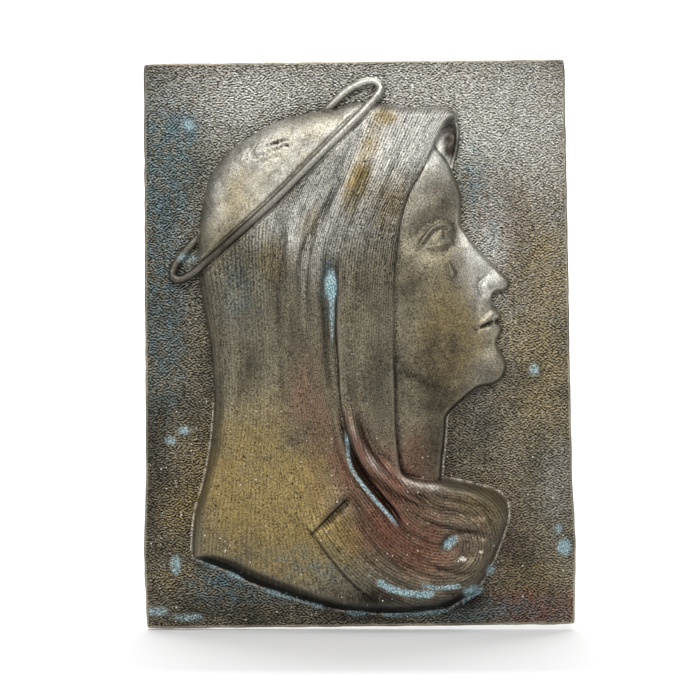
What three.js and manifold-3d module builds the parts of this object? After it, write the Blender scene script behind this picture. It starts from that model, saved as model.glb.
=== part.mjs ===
// Relief plaque of cast bronze: a veiled head in profile on a plain plate, with a
// ring-shaped halo seen almost edge-on.
// Millimetres, +Z up, the relief faces -Y, and the origin is the middle of the back plane.
import * as THREE from "three";
import { mergeVertices } from "three/addons/utils/BufferGeometryUtils.js";
import Module from "manifold-3d";

// Driving dimensions: the plate
const PLATE_HEIGHT = 282;
const PLATE_TOP_WIDTH = 210;
const PLATE_BOTTOM_WIDTH = 214;
const PLATE_THICKNESS = 5;
const EDGE_RADIUS = 1.8;
const BACK_BEVEL = 0.6;
// The plate was trimmed a little out of square
const TOP_SHIFT = -1.6;
const BOTTOM_SHIFT = 1.8;
const LEFT_TO_RIGHT_RISE = 2.2;
const SIDE_SWELL = 1.2;
const GROUND_WAVE = 0.22;

// Driving dimensions: the figure, whose drawing scales with its height
const FIGURE_HEIGHT = 254;
const HEAD_TILT = THREE.MathUtils.degToRad(16);
const THIRD_OF_FACE = 0.1732 * FIGURE_HEIGHT;
const CONTOUR_STEP = 2.4;

// Driving dimensions: the halo's rod and the hollow in the back
const ROD_DIAMETER = 4.2;
const ROD_ROOT = 2;
const HOLLOW_WALL = 5;
const HOLLOW_WIDTH = 0.34 * FIGURE_HEIGHT;
const HOLLOW_HEIGHT = 0.8 * FIGURE_HEIGHT;

// Fineness of the faceted surface
const GRID = 256;
const TOLERANCE = 0.7;
const COARSEST_CELL = 16;
// Rows of the grid, from the bottom, that hold the straight wall of the cut base
const WALL_ROWS = 38;
const CURVE_STEPS = 5;
const ROD_STATIONS = 56;
const ROD_SIDES = 5;
const HOLLOW_SEGMENTS = 48;

// The figure's drawing. Its points are millimetres on a figure 254 mm tall, measured from
// the middle of the plate.
const DRAWN_HEIGHT = 254;
const UNIT = FIGURE_HEIGHT / DRAWN_HEIGHT;

// Veil and scarf, around their outline: x, z, width of the rounded edge, share of the
// cloth's height that stands at the edge itself
const CROWN = [
  [0, 120, 7, 0], [-6.5, 118.5, 9, 0], [-13, 116.5, 12, 0], [-24, 115, 13, 0], [-39, 111, 14, 0],
  [-52, 104, 14, 0], [-64, 95.5, 14, 0], [-73, 83.5, 14, 0], [-77.5, 64.5, 13, 0],
  [-79, 52, 11, 0], [-79, 39.5, 8, 0], [-77, 22, 6, 0], [-73, -0.5, 5.5, 0],
  [-71, -25.5, 5.5, 0], [-72.5, -48, 5.5, 0], [-76, -67, 5.5, 0], [-80.5, -84, 5.5, 0],
  [-82, -98, 5, 0], [-81.5, -105, 3, 0],
];
const CUT_BASE = [
  [-80.5, -106.5, 3, 0], [-73, -109.5, 5.5, 0], [-64, -113, 6.8, 0], [-53, -118.5, 7.2, 0],
  [-41.5, -123, 7, 0], [-29, -127, 6.5, 0], [-16.5, -130.5, 5.6, 0], [-3, -133, 5.2, 0],
  [16, -134, 5.6, 0], [32, -133.5, 6, 0], [44, -131.5, 5.6, 0], [52.5, -127, 5, 0],
];
const SCARF_END = [
  [59, -122, 5.5, 0], [64, -114.5, 6.5, 0], [68.5, -105.5, 7.5, 0], [72, -96.5, 8, 0],
  [74.5, -88.5, 8, 0], [75.2, -83, 8, 0], [73.5, -77, 8, 0], [69, -73, 7.5, 0],
  [62, -70.8, 7, 0], [53.5, -68.8, 6, 0], [45, -67.2, 4.5, 0.1],
];
const SCARF_AT_NECK = [[40, -67.2, 3.6, 0.6], [33.5, -67, 3.5, 0.62], [27, -65.8, 3.2, 0.62]];
const VEIL_AT_FACE = [
  [22.5, -63, 2.4, 0.75], [20.5, -53, 2.2, 0.86], [19.5, -40.5, 2, 0.88], [19, -23, 2, 0.9],
  [18.5, -3, 2, 0.92], [19, 17, 2.2, 0.84], [19.5, 34.5, 2.4, 0.74], [21, 49.5, 2.5, 0.66],
  [23, 63, 2.6, 0.62], [27.5, 75.5, 2.8, 0.6], [32, 83, 2.8, 0.6], [36, 91.5, 2.8, 0.58],
  [39, 99, 2.8, 0.55], [41.5, 105, 2.6, 0.5], [44.5, 109.2, 2.4, 0.45], [47.5, 111.2, 2.2, 0.4],
];
const HOOD = [
  [50, 111.5, 2.5, 0.1], [50, 114, 3.5, 0], [46.5, 117, 5, 0], [41, 118, 5.5, 0],
  [33.5, 117.8, 6, 0], [23.5, 118, 6, 0], [15, 119.2, 6, 0], [7, 120.2, 6, 0],
];

// Far side of the hood's opening, beyond the forehead: x, z
const HOOD_FAR_SIDE = [
  [41, 89.5], [47, 86], [48.8, 90.5], [50.2, 96.5], [51, 102],
  [50.8, 108], [49, 112.5], [44, 113], [38, 107], [33, 97],
];

// Front of the neck, from under the jaw down to the scarf: x, z
const NECK_FRONT = [[45.5, -34.5], [44.2, -40.5], [43.5, -48], [42.5, -57], [41.5, -69]];

// Height of the cloth above the ground of the plate: x, z, height
const CLOTH_LEVELS = [
  [-44, 92, 9.5], [-64, 72, 8.2], [-24, 102, 9], [-54, 62, 7.6], [-9, 112, 7.8], [-59, 41, 6.4],
  [-34, 62, 8], [-9, 87, 10], [16, 107, 9.5], [36, 109.5, 8], [31, 72, 9.6],
  [-64, 12, 5.8], [-64, -18, 6], [-66.5, -48, 7.2], [-66.5, -78, 9.2], [-71.5, -98, 10.2],
  [-44, 22, 7], [-44, -18, 7.2], [-44, -53, 9], [-39, -88, 11.2], [-34, -113, 12.2],
  [-24, 22, 8.5], [-21.5, -18, 8.2], [-19, -48, 9.2], [-14, -88, 11], [-9, -123, 12],
  [1, 22, 9.5], [3.5, -8, 9], [6, -38, 8.6], [16, 22, 9.4], [18.5, -28, 8.2],
  [21, -78, 11], [41, -78, 10.5], [61, -80.5, 8.5], [21, -108, 12], [46, -108, 11],
  [61, -103, 8.5], [26, -128, 12],
];
const LEVEL_REACH = 15;

// Folds of the cloth. A roll is a rounded ridge, a groove a hollow line, and a lap an edge
// of cloth that lies over what is on the right of its line.
const FOLDS = [
  // Pleats sweeping back and down from under the halo
  { kind: "roll", width: 5.5, height: 1.5, fade: [0.12, 0.45], line: [[-2, 113], [-10, 97],
    [-18, 83], [-24.5, 70], [-30, 56], [-32.5, 43], [-34, 22], [-33.5, -3], [-32, -33]] },
  { kind: "groove", width: 1.4, height: 1.5, fade: [0.3, 0.5], line: [[-3, 92], [-10, 79],
    [-15.5, 68], [-22, 56.5], [-27.5, 44.5], [-29, 34.5], [-28.5, 17]] },
  { kind: "roll", width: 4.2, height: 1.5, fade: [0.2, 0.45], line: [[4, 99], [-5, 77],
    [-12, 63], [-17.5, 50], [-20.5, 38], [-21, 17], [-19, -8], [-16, -33]] },
  { kind: "groove", width: 3.2, height: 0.9, fade: [0.3, 0.45], line: [[-11.5, 97], [-20, 82],
    [-29, 66], [-37, 50], [-40, 32], [-40.5, 2]] },
  { kind: "groove", width: 2, height: 0.8, fade: [0.3, 0.3], line: [[7, 97], [2, 79.5],
    [-3, 64.5], [-8, 52], [-11.5, 41]] },
  { kind: "roll", width: 6, height: 0.9, fade: [0.3, 0.45], line: [[18.5, 109.5], [12, 89.5],
    [5, 69.5], [-0.5, 49.5], [-4, 22]] },
  { kind: "groove", width: 3, height: 0.7, fade: [0.3, 0.45], line: [[28.5, 107], [22, 89.5],
    [15, 69.5], [10, 47], [8, 17]] },
  { kind: "roll", width: 5, height: 0.7, fade: [0.3, 0.45], line: [[36, 107], [29, 89.5],
    [21, 69.5], [15.5, 47], [14, 17]] },
  // Long shallow folds down the back
  { kind: "groove", width: 3.5, height: 0.6, fade: [0.3, 0.45], line: [[-50, 43], [-52, 12],
    [-52, -18], [-53, -48], [-56, -83]] },
  { kind: "roll", width: 5, height: 0.6, fade: [0.3, 0.4], line: [[-61, 41], [-63, 12],
    [-62.5, -18], [-64.5, -48], [-70, -83]] },
  { kind: "groove", width: 2.6, height: 0.5, fade: [0.35, 0.4], line: [[-71, 34.5], [-69, 7],
    [-68, -23], [-69.5, -48], [-74.5, -80.5]] },
  // Pocket and trough behind the front fall of cloth, which laps over them
  { kind: "groove", width: 3, height: 1.8, fade: [0.14, 0.8], line: [[-13.5, 45], [-13.5, 36],
    [-13.5, 26], [-13.5, 9.5], [-12.5, -8], [-11, -28]] },
  { kind: "groove", width: 3.2, height: 1, fade: [0.3, 0.3], line: [[-14.5, 22], [-13.5, 2],
    [-12, -18], [-9.5, -33]] },
  { kind: "lap", width: 8, height: 1.4, fade: [0.3, 0.25], line: [[-9.5, 44.5], [-10, 27],
    [-10.5, 7], [-9.5, -8], [-8.5, -25.5], [-6.5, -38], [-4, -49]] },
  // Deep crease between the shoulder and the scarf, with a lip and a rope-like roll
  { kind: "groove", width: 1.4, height: 3.8, fade: [0.6, 0.14], line: [[-9.5, -20.5],
    [-7.5, -32], [-5, -44], [-2, -55.5], [3, -65], [10, -74], [17, -82], [23, -91]] },
  { kind: "roll", width: 2.6, height: 1.4, fade: [0.25, 0.3], line: [[-12, -28], [-9.5, -43],
    [-6, -55.5], [-0.5, -65], [6.5, -73.5], [13.5, -82], [21, -93], [31, -102]] },
  { kind: "roll", width: 4.4, height: 3, fade: [0.25, 0.4], line: [[-6, -28], [-2.5, -40.5],
    [1.5, -51.5], [8, -61], [17, -69], [28, -75.5], [43.5, -82]] },
  { kind: "groove", width: 2.2, height: 1.2, fade: [0.3, 0.3], line: [[0, -33], [4, -44],
    [10, -53], [17, -60], [22, -65]] },
  // Rolls of the scarf around its end
  { kind: "roll", width: 4.2, height: 1.7, fade: [0.2, 0.3], line: [[20, -65], [29, -70],
    [41, -72.5], [54, -74.5], [65, -77.5], [72, -84]] },
  { kind: "groove", width: 1.6, height: 1.2, fade: [0.3, 0.4], line: [[20, -67], [27, -73],
    [35, -78], [44, -82], [54, -84.5], [64, -86]] },
  { kind: "roll", width: 3.6, height: 1.2, fade: [0.3, 0.35], line: [[31, -81], [41, -86],
    [52, -89], [63, -89], [71, -86]] },
  { kind: "groove", width: 1.7, height: 1.3, fade: [0.15, 0.5], line: [[43, -102.5],
    [44.5, -97], [49, -94], [56, -94], [64, -95.5], [72, -93]] },
  { kind: "roll", width: 4.5, height: 1.1, fade: [0.3, 0.35], line: [[33.5, -100.5],
    [41, -106], [50, -109], [60, -108], [68, -100.5]] },
  // Folded end of the cloth on the shoulder
  { kind: "lap", width: 6, height: 1.5, fade: [0.15, 0.3], line: [[-22.5, -95], [-19, -88.5],
    [-12, -80.5], [-4, -74]] },
  { kind: "lap", width: 6, height: 1.3, fade: [0.25, 0.5], line: [[-22.5, -93.5],
    [-16.5, -104], [-6.5, -115], [5, -124], [15, -130]] },
  { kind: "groove", width: 2.2, height: 1.6, fade: [0.25, 0.3], line: [[-21, -93], [-14, -85],
    [-6, -78.5], [1, -81]] },
  { kind: "groove", width: 2.6, height: 1, fade: [0.3, 0.35], line: [[-1, -82], [7, -93],
    [17, -104], [27, -112], [41, -119]] },
  { kind: "roll", width: 4, height: 0.9, fade: [0.3, 0.35], line: [[-4, -89], [6, -101.5],
    [17.5, -111.5], [31, -118], [46, -122]] },
];
// Pocket in the scarf's loop: x, z, half width, half height, depth
const LOOP_POCKET = [44.5, -99, 3.4, 2.9, 2.4];

// The face is drawn in thirds of its own height: forward, and up from the base of the nose.
// The forehead leaves the hood at this point of the drawing.
const FOREHEAD_POINT = [47, 86.5];
const FOREHEAD_IN_THIRDS = [0.03, 1.43];
const PROFILE = [
  [-0.26, 2.0], [-0.1, 1.76], [0, 1.55], [0.045, 1.32], [0.05, 1.12], [0.015, 0.98],
  [-0.03, 0.86], [-0.035, 0.78], [0.02, 0.62], [0.12, 0.4], [0.225, 0.2], [0.285, 0.11],
  [0.31, 0.04], [0.285, -0.025], [0.21, -0.055], [0.12, -0.055], [0.065, -0.09],
  [0.055, -0.18], [0.09, -0.245], [0.115, -0.29], [0.095, -0.335], [0.045, -0.36],
  [0.075, -0.395], [0.085, -0.445], [0.045, -0.51], [-0.01, -0.56], [-0.02, -0.63],
  [0.015, -0.74], [0.02, -0.85], [-0.03, -0.95], [-0.13, -1.02], [-0.25, -1.03],
];
// Smooth line of the head behind the features, from which the cheek rises
const HEAD_PLANE = [
  [-0.26, 2.0], [0.0, 1.6], [0.04, 1.2], [0.02, 0.8], [0.07, 0.4], [0.09, 0], [0.06, -0.4],
  [0.02, -0.75], [-0.1, -0.98], [-0.3, -1.04],
];
const JAW = [[-0.18, -1.06], [-0.45, -1.02], [-0.75, -0.9], [-1, -0.68], [-1.16, -0.38], [-1.22, 0]];
const CHEEK_RISE = 6.6;
const CHEEK_RUN = 26;
// Over this length the side of the nose runs into the cheek
const PLANE_SOFTNESS = 4;
const NECK_RISE = 4.2;
const NECK_RUN = 18;

// Rounded masses of the face: forward, up, half length, half height, height in mm, turn
const MASSES = [
  [-0.6, 0.4, 0.3, 0.22, 1.3, 0.3],
  [-0.42, 0.05, 0.26, 0.4, 0.5, 0],
  [-0.33, 0.79, 0.27, 0.17, -2.4, -0.15],
  [-0.1, 0.74, 0.09, 0.12, -1.2, 0],
  [-0.45, 1.45, 0.5, 0.3, 0.5, 0],
  [-0.31, 0.75, 0.15, 0.1, 1.9, 0.12],
  [0.2, 0.05, 0.11, 0.1, 1.2, 0],
  [0.05, 0.045, 0.1, 0.095, 1.7, 0],
  [0.14, -0.035, 0.05, 0.022, -1.4, 0.15],
  [-0.205, -0.378, 0.032, 0.04, -0.6, 0],
  [-0.05, -0.57, 0.12, 0.065, -0.9, 0],
  [-0.08, -0.8, 0.17, 0.14, 1.4, 0],
  [-0.28, -0.6, 0.2, 0.2, -0.35, 0],
];
// Tear under the eye: forward, up, half width, length, height in mm
const TEAR = [-0.3, 0.36, 0.055, 0.2, 1.2];
// Drawn lines of the face: half width, height in mm, fade at each end, points
const STROKES = [
  // Brow, lids and the crease above the eye
  [0.1, 1, [0.3, 0.6], [[0, 1.02], [-0.18, 1.065], [-0.42, 1.055], [-0.68, 0.95], [-0.86, 0.78]]],
  [0.028, 1.35, [0.04, 0.3], [[-0.155, 0.775], [-0.185, 0.835], [-0.29, 0.865], [-0.42, 0.82], [-0.62, 0.66]]],
  [0.03, -0.35, [0.3, 0.4], [[-0.16, 0.9], [-0.24, 0.945], [-0.36, 0.945], [-0.5, 0.885], [-0.66, 0.75]]],
  [0.024, 0.8, [0.05, 0.3], [[-0.185, 0.665], [-0.27, 0.64], [-0.38, 0.64], [-0.55, 0.67]]],
  [0.035, -0.25, [0.3, 0.3], [[-0.2, 0.59], [-0.32, 0.555], [-0.5, 0.58]]],
  // Bridge and wing of the nose, and the fold beside it
  [0.09, 1, [0.25, 0.2], [[-0.005, 0.86], [0, 0.66], [0.07, 0.42], [0.155, 0.2]]],
  [0.026, -0.9, [0.25, 0.2], [[0.11, 0.155], [0.02, 0.155], [-0.045, 0.09], [-0.045, 0], [-0.01, -0.055]]],
  [0.05, -0.45, [0.3, 0.6], [[-0.06, 0], [-0.13, -0.13], [-0.2, -0.3]]],
  // Upper lip, lower lip and the line between them
  [0.034, 1.2, [0.02, 0.4], [[0.1, -0.275], [0.045, -0.265], [-0.03, -0.29], [-0.175, -0.36]]],
  [0.04, 1.3, [0.02, 0.4], [[0.08, -0.425], [0.01, -0.435], [-0.07, -0.42], [-0.14, -0.39]]],
  [0.017, -1.5, [0.02, 0.25], [[0.06, -0.355], [-0.02, -0.352], [-0.1, -0.36], [-0.19, -0.375]]],
];

// Halo: x, z, height of the rod's centre above the ground
const HALO = [
  [-79, 37, 5], [-59, 54.5, 7], [-39, 72.8, 8.8], [-19, 92.8, 10.2], [-4, 107.8, 10.2],
  [4.5, 116.5, 8.8], [10, 123, 6], [11.5, 127, 4.6], [9.5, 129.8, 4], [5.5, 130.4, 3.6],
  [1, 129, 3.2], [-4, 126.5, 3], [-10, 121.5, 2.6], [-29, 102.5, 1.5], [-54, 77, 1.5],
  [-71.5, 60, 1.8], [-80, 52, 2.6], [-83.5, 48.2, 2.8], [-87, 44, 3], [-90.5, 39, 3.2],
  [-91.8, 35, 3.6], [-90.5, 32.5, 4], [-87.5, 32, 4.4], [-84, 33.5, 4.6],
];

// Middle of the hollow in the back, and the figure's lowest height over it
const HOLLOW_MIDDLE = [-18, -8];
const HEIGHT_OVER_HOLLOW = 6 * UNIT;

const { lerp, clamp, smoothstep } = THREE.MathUtils;

// Quarter-round rise from 0 at the edge to 1 at the given width inside it
function roundEdge(distance, width) {
  const rest = 1 - clamp(distance / width, 0, 1);
  return Math.sqrt(1 - rest * rest);
}

function bell(value) {
  return Math.exp(-value * value);
}

// Points of a smooth curve through the given rows; every column is carried along it
function smoothRows(rows, closed) {
  const count = rows.length;
  const row = (index) => rows[closed ? (index + count) % count : clamp(index, 0, count - 1)];
  const spans = closed ? count : count - 1;
  const points = [];
  for (let span = 0; span < spans; span += 1) {
    const [before, start, end, after] = [row(span - 1), row(span), row(span + 1), row(span + 2)];
    for (let stepNumber = 0; stepNumber < CURVE_STEPS; stepNumber += 1) {
      const t = stepNumber / CURVE_STEPS;
      points.push(start.map((value, column) => {
        const leave = (end[column] - before[column]) / 2;
        const arrive = (after[column] - value) / 2;
        const change = value - end[column];
        return (2 * change + leave + arrive) * t ** 3
          + (-3 * change - 2 * leave - arrive) * t ** 2 + leave * t + value;
      }));
    }
  }
  if (!closed) points.push(rows[count - 1]);
  return points;
}

// A line on the plate that can be asked for its nearest point
class Track {
  constructor(points, closed = false) {
    this.closed = closed;
    this.points = points.map((point) => [point[0] * UNIT, point[1] * UNIT, ...point.slice(2)]);
    const next = (index) => this.points[(index + 1) % this.points.length];
    const spans = closed ? points.length : points.length - 1;
    this.spans = Array.from({ length: spans }, (_, index) => [this.points[index], next(index)]);
    this.starts = [0];
    for (const [a, b] of this.spans) {
      this.starts.push(this.starts.at(-1) + Math.hypot(b[0] - a[0], b[1] - a[1]));
    }
    this.low = [0, 1].map((axis) => Math.min(...this.points.map((point) => point[axis])));
    this.high = [0, 1].map((axis) => Math.max(...this.points.map((point) => point[axis])));
  }

  within(x, z, reach) {
    return x > this.low[0] - reach && x < this.high[0] + reach
      && z > this.low[1] - reach && z < this.high[1] + reach;
  }

  // Distance, the same signed (left of the line or inside it is positive), share along the
  // line, and the sizes that the line carries there
  nearest(x, z) {
    let best = Infinity;
    let side = 0;
    let place = 0;
    let share = 0;
    let inside = false;
    this.spans.forEach(([a, b], index) => {
      const [ex, ez] = [b[0] - a[0], b[1] - a[1]];
      const [wx, wz] = [x - a[0], z - a[1]];
      const t = clamp((wx * ex + wz * ez) / (ex * ex + ez * ez || 1), 0, 1);
      const gap = (wx - t * ex) ** 2 + (wz - t * ez) ** 2;
      if (gap < best) {
        best = gap;
        side = ex * wz - ez * wx;
        place = index;
        share = t;
      }
      if ((a[1] > z) !== (b[1] > z) && x < (ex * wz) / ez + a[0]) inside = !inside;
    });
    const distance = Math.sqrt(best);
    const left = this.closed ? inside : side > 0;
    const [a, b] = this.spans[place];
    return {
      distance,
      signed: left ? distance : -distance,
      along: lerp(this.starts[place], this.starts[place + 1], share) / this.starts.at(-1),
      sizes: a.slice(2).map((value, column) => lerp(value, b[column + 2], share)),
    };
  }
}

// A line's strength along it, fading in over its first share and out over its last
function fadeAlong(along, [fadeIn, fadeOut]) {
  return smoothstep(along, 0, fadeIn) * smoothstep(1 - along, 0, fadeOut);
}

const FACE_FORWARD = [Math.cos(HEAD_TILT), Math.sin(HEAD_TILT)];
const FACE_UP = [-FACE_FORWARD[1], FACE_FORWARD[0]];
const NOSE_BASE = [0, 1].map((axis) => FOREHEAD_POINT[axis] * UNIT - THIRD_OF_FACE
  * (FOREHEAD_IN_THIRDS[0] * FACE_FORWARD[axis] + FOREHEAD_IN_THIRDS[1] * FACE_UP[axis]));

// From thirds of the face to the drawing, and from the plate to thirds of the face
function onDrawing([forward, up]) {
  return [0, 1].map((axis) => (NOSE_BASE[axis]
    + THIRD_OF_FACE * (forward * FACE_FORWARD[axis] + up * FACE_UP[axis])) / UNIT);
}

function inThirds(x, z) {
  const offset = [x - NOSE_BASE[0], z - NOSE_BASE[1]];
  return [FACE_FORWARD, FACE_UP].map((axis) => (offset[0] * axis[0] + offset[1] * axis[1]) / THIRD_OF_FACE);
}

const faceContour = smoothRows(PROFILE.map(onDrawing));
const throat = smoothRows([onDrawing([-0.25, -1.03]), onDrawing([-0.4, -1.03]), ...NECK_FRONT]);
const behindVeil = [[36, -74], [11, -74], [6, 22], [11, 97], [21, 113]];
const contourTrack = new Track([...faceContour, ...throat.slice(1)]);
const headTrack = new Track([...faceContour, ...throat.slice(1), ...behindVeil], true);
const planeTrack = new Track([...smoothRows(HEAD_PLANE.map(onDrawing)), ...throat.slice(6), ...behindVeil], true);
const jawTrack = new Track(smoothRows(JAW.map(onDrawing)));
const strokes = STROKES.map(([width, height, fade, line]) => (
  { width: width * THIRD_OF_FACE, height, fade, track: new Track(smoothRows(line.map(onDrawing))) }));
const hoodTrack = new Track(smoothRows(HOOD_FAR_SIDE, true), true);
const clothRows = [...CROWN, ...CUT_BASE, ...SCARF_END, ...SCARF_AT_NECK, ...VEIL_AT_FACE, ...HOOD];
const clothTrack = new Track(smoothRows(clothRows, true), true);
// Start and end of the cut base, as shares along the cloth's outline
const [CUT_START, CUT_END] = [CROWN.length, CROWN.length + CUT_BASE.length]
  .map((row) => clothTrack.starts[row * CURVE_STEPS] / clothTrack.starts.at(-1));
const folds = FOLDS.map((fold) => ({ ...fold, track: new Track(smoothRows(fold.line)) }));
const haloTrack = new Track(smoothRows(HALO, true), true);

// A drop, rounded below and drawn out above
function tearHeight(forward, up) {
  const [middle, level, width, length, amount] = TEAR;
  const share = clamp((up - level) / length + 0.5, 0, 1);
  const half = width * Math.sqrt(clamp(share * 6, 0, 1)) * (1 - share) ** 0.8 + 1e-6;
  return amount * roundEdge(clamp(1 - Math.abs(forward - middle) / half, 0, 1), 1);
}

function featuresHeight(x, z) {
  const [forward, up] = inThirds(x, z);
  let height = 0;
  for (const [middle, level, length, rise, amount, turn] of MASSES) {
    const [cos, sin] = [Math.cos(turn), Math.sin(turn)];
    const across = ((forward - middle) * cos + (up - level) * sin) / length;
    const upward = ((up - level) * cos - (forward - middle) * sin) / rise;
    height += amount * bell(Math.hypot(across, upward));
  }
  height += tearHeight(forward, up);
  for (const { width, height: amount, fade, track } of strokes) {
    if (!track.within(x, z, 2.6 * width)) continue;
    const { distance, along } = track.nearest(x, z);
    height += amount * bell(distance / width) * fadeAlong(along, fade);
  }
  return height;
}

// Height of the head and neck, or null outside them
function headHeight(x, z) {
  if (headTrack.nearest(x, z).signed <= 0) return null;
  const edge = contourTrack.nearest(x, z).distance;
  const behind = planeTrack.nearest(x, z).signed;
  const depth = (behind + Math.hypot(behind, PLANE_SOFTNESS)) / 2;
  const step = CONTOUR_STEP * smoothstep(edge, 0, 1.2);
  const cheek = step + CHEEK_RISE * roundEdge(depth, CHEEK_RUN * UNIT) ** 1.15
    + featuresHeight(x, z) * Math.sqrt(smoothstep(edge, 0, 3));
  const neck = step + NECK_RISE * roundEdge(depth, NECK_RUN * UNIT);
  const { signed, along } = jawTrack.nearest(x, z);
  return lerp(cheek, neck, smoothstep(signed, -2.6, 3.4) * smoothstep(1 - along, 0.02, 0.4));
}

function hoodFarHeight(x, z) {
  const inside = hoodTrack.within(x, z, 1) ? hoodTrack.nearest(x, z).signed : -1;
  return inside > 0 ? (1.3 + 1.3 * bell((inside - 1.2) / 1.2)) * smoothstep(inside, 0, 0.8) : 0;
}

// Level of the cloth between its landmarks, each weighed by a bell of its distance
function clothLevel(x, z) {
  let sum = 0;
  let weights = 1e-9;
  for (const [landmarkX, landmarkZ, level] of CLOTH_LEVELS) {
    const gap = Math.hypot(x - landmarkX * UNIT, z - landmarkZ * UNIT) / (LEVEL_REACH * UNIT);
    const weight = Math.exp(-gap * gap / 2);
    sum += weight * level * UNIT;
    weights += weight;
  }
  return sum / weights;
}

function foldHeight({ kind, width, height, fade, track }, x, z) {
  const reach = (kind === "lap" ? 4 : 2.6) * width;
  if (!track.within(x, z, reach)) return 0;
  const { distance, signed, along } = track.nearest(x, z);
  const strength = height * fadeAlong(along, fade);
  if (kind === "roll") return strength * clamp(1 - (distance / width) ** 2, 0, 1) ** 0.8;
  if (kind === "groove") return -strength * bell(distance / width);
  const over = bell(Math.max(signed, 0) / width);
  const under = -0.45 * bell(Math.min(signed, 0) / (0.45 * width));
  return strength * lerp(under, over, smoothstep(signed, -0.45, 0.45));
}

// Straight wall of the cut base with a rounded arris, at a share of the wall's width
function slopedEdge(share) {
  return share < 0.8 ? share : 1 - Math.max(1.2 - share, 0) ** 2 / 0.8;
}

// Height of the veil and scarf, or null outside them
function clothHeight(x, z) {
  const { signed, along, sizes } = clothTrack.nearest(x, z);
  if (signed <= 0) return null;
  const width = Math.max(sizes[0], 0.5) * UNIT;
  const cut = smoothstep(along, CUT_START, CUT_START + 0.012) * smoothstep(-along, -CUT_END, 0.02 - CUT_END);
  const rounding = lerp(roundEdge(signed, width), slopedEdge(signed / width), cut);
  const share = clamp(sizes[1], 0, 1);
  const [pocketX, pocketZ, pocketWidth, pocketHeight, pocketDepth] = LOOP_POCKET;
  const pocket = Math.hypot((x / UNIT - pocketX) / pocketWidth, (z / UNIT - pocketZ) / pocketHeight);
  let relief = -pocketDepth * Math.exp(-(pocket ** 3));
  for (const fold of folds) relief += foldHeight(fold, x, z);
  const body = clothLevel(x, z) * lerp(share, 1, rounding);
  return Math.max(body + relief * smoothstep(rounding, 0, 0.9), 0);
}

// Height of the whole front above the ground, where the nearer layer hides the farther
function frontHeight(x, z) {
  const ground = GROUND_WAVE * Math.sin(x / 23 + 1) * Math.cos(z / 31);
  const figure = clothHeight(x, z) ?? headHeight(x, z) ?? hoodFarHeight(x, z);
  return Math.max(figure, ground);
}

// Point of the plate's plan, from -1 to 1 across and up, slightly out of square
function onPlate(across, up) {
  const share = (up + 1) / 2;
  const halfWidth = lerp(PLATE_BOTTOM_WIDTH, PLATE_TOP_WIDTH, share) / 2;
  const swell = SIDE_SWELL * across ** 3 * bell((up + 0.72) / 0.16);
  return [
    lerp(BOTTOM_SHIFT, TOP_SHIFT, share) + across * halfWidth + swell,
    (up * PLATE_HEIGHT + across * LEFT_TO_RIGHT_RISE) / 2,
  ];
}

// Two halves of a right triangle, given as its two sharp corners and its right corner
function halve([ax, az, bx, bz, cx, cz]) {
  const [mx, mz] = [(ax + bx) / 2, (az + bz) / 2];
  return [[cx, cz, ax, az, mx, mz], [bx, bz, cx, cz, mx, mz]];
}

function canHalve([ax, az, bx, bz]) {
  return (ax + bx) % 2 === 0 && (az + bz) % 2 === 0;
}

function legOf([ax, az, , , cx, cz]) {
  return Math.max(Math.abs(ax - cx), Math.abs(az - cz));
}

// Steepness of the surface at a grid node, over two cells to each side
function steepness(heights, node, side) {
  const reach = 2;
  const cell = [PLATE_TOP_WIDTH / GRID, PLATE_HEIGHT / GRID];
  const [across, up] = [1, side].map((stride, axis) => {
    const [before, after] = [heights[node - reach * stride], heights[node + reach * stride]];
    return ((after ?? heights[node]) - (before ?? heights[node])) / (2 * reach * cell[axis]);
  });
  return Math.hypot(across, up);
}

// Right triangles over the square grid, halved until none misses the surface by more than
// the tolerance, which on the smallest is measured square to the surface, but not at the
// wall of the cut base. A triangle's miss is the worst of its own and its halves'.
function adaptiveTriangles(heights) {
  const side = GRID + 1;
  const whole = [[0, 0, GRID, GRID, GRID, 0], [GRID, GRID, 0, 0, 0, GRID]];
  const levels = [whole];
  while (canHalve(levels.at(-1)[0])) levels.push(levels.at(-1).flatMap(halve));
  const misses = new Float32Array(side * side);
  const middle = ([ax, az, bx, bz]) => ((az + bz) / 2) * side + (ax + bx) / 2;
  for (const level of levels.slice(0, -1).toReversed()) {
    for (const triangle of level) {
      const [ax, az, bx, bz] = triangle;
      const ends = (heights[az * side + ax] + heights[bz * side + bx]) / 2;
      const inner = halve(triangle).filter(canHalve).map((half) => misses[middle(half)]);
      const place = middle(triangle);
      const plain = legOf(triangle) > 1 || (az + bz) / 2 < WALL_ROWS;
      const slope = plain ? 0 : steepness(heights, place, side);
      const own = Math.abs(ends - heights[place]) / Math.hypot(1, slope);
      misses[place] = Math.max(misses[place], own, ...inner);
    }
  }
  const kept = [];
  const choose = (triangle) => {
    const coarse = legOf(triangle) > COARSEST_CELL || misses[middle(triangle)] > TOLERANCE;
    if (canHalve(triangle) && coarse) halve(triangle).forEach(choose);
    else kept.push(triangle);
  };
  whole.forEach(choose);
  return kept;
}

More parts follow.
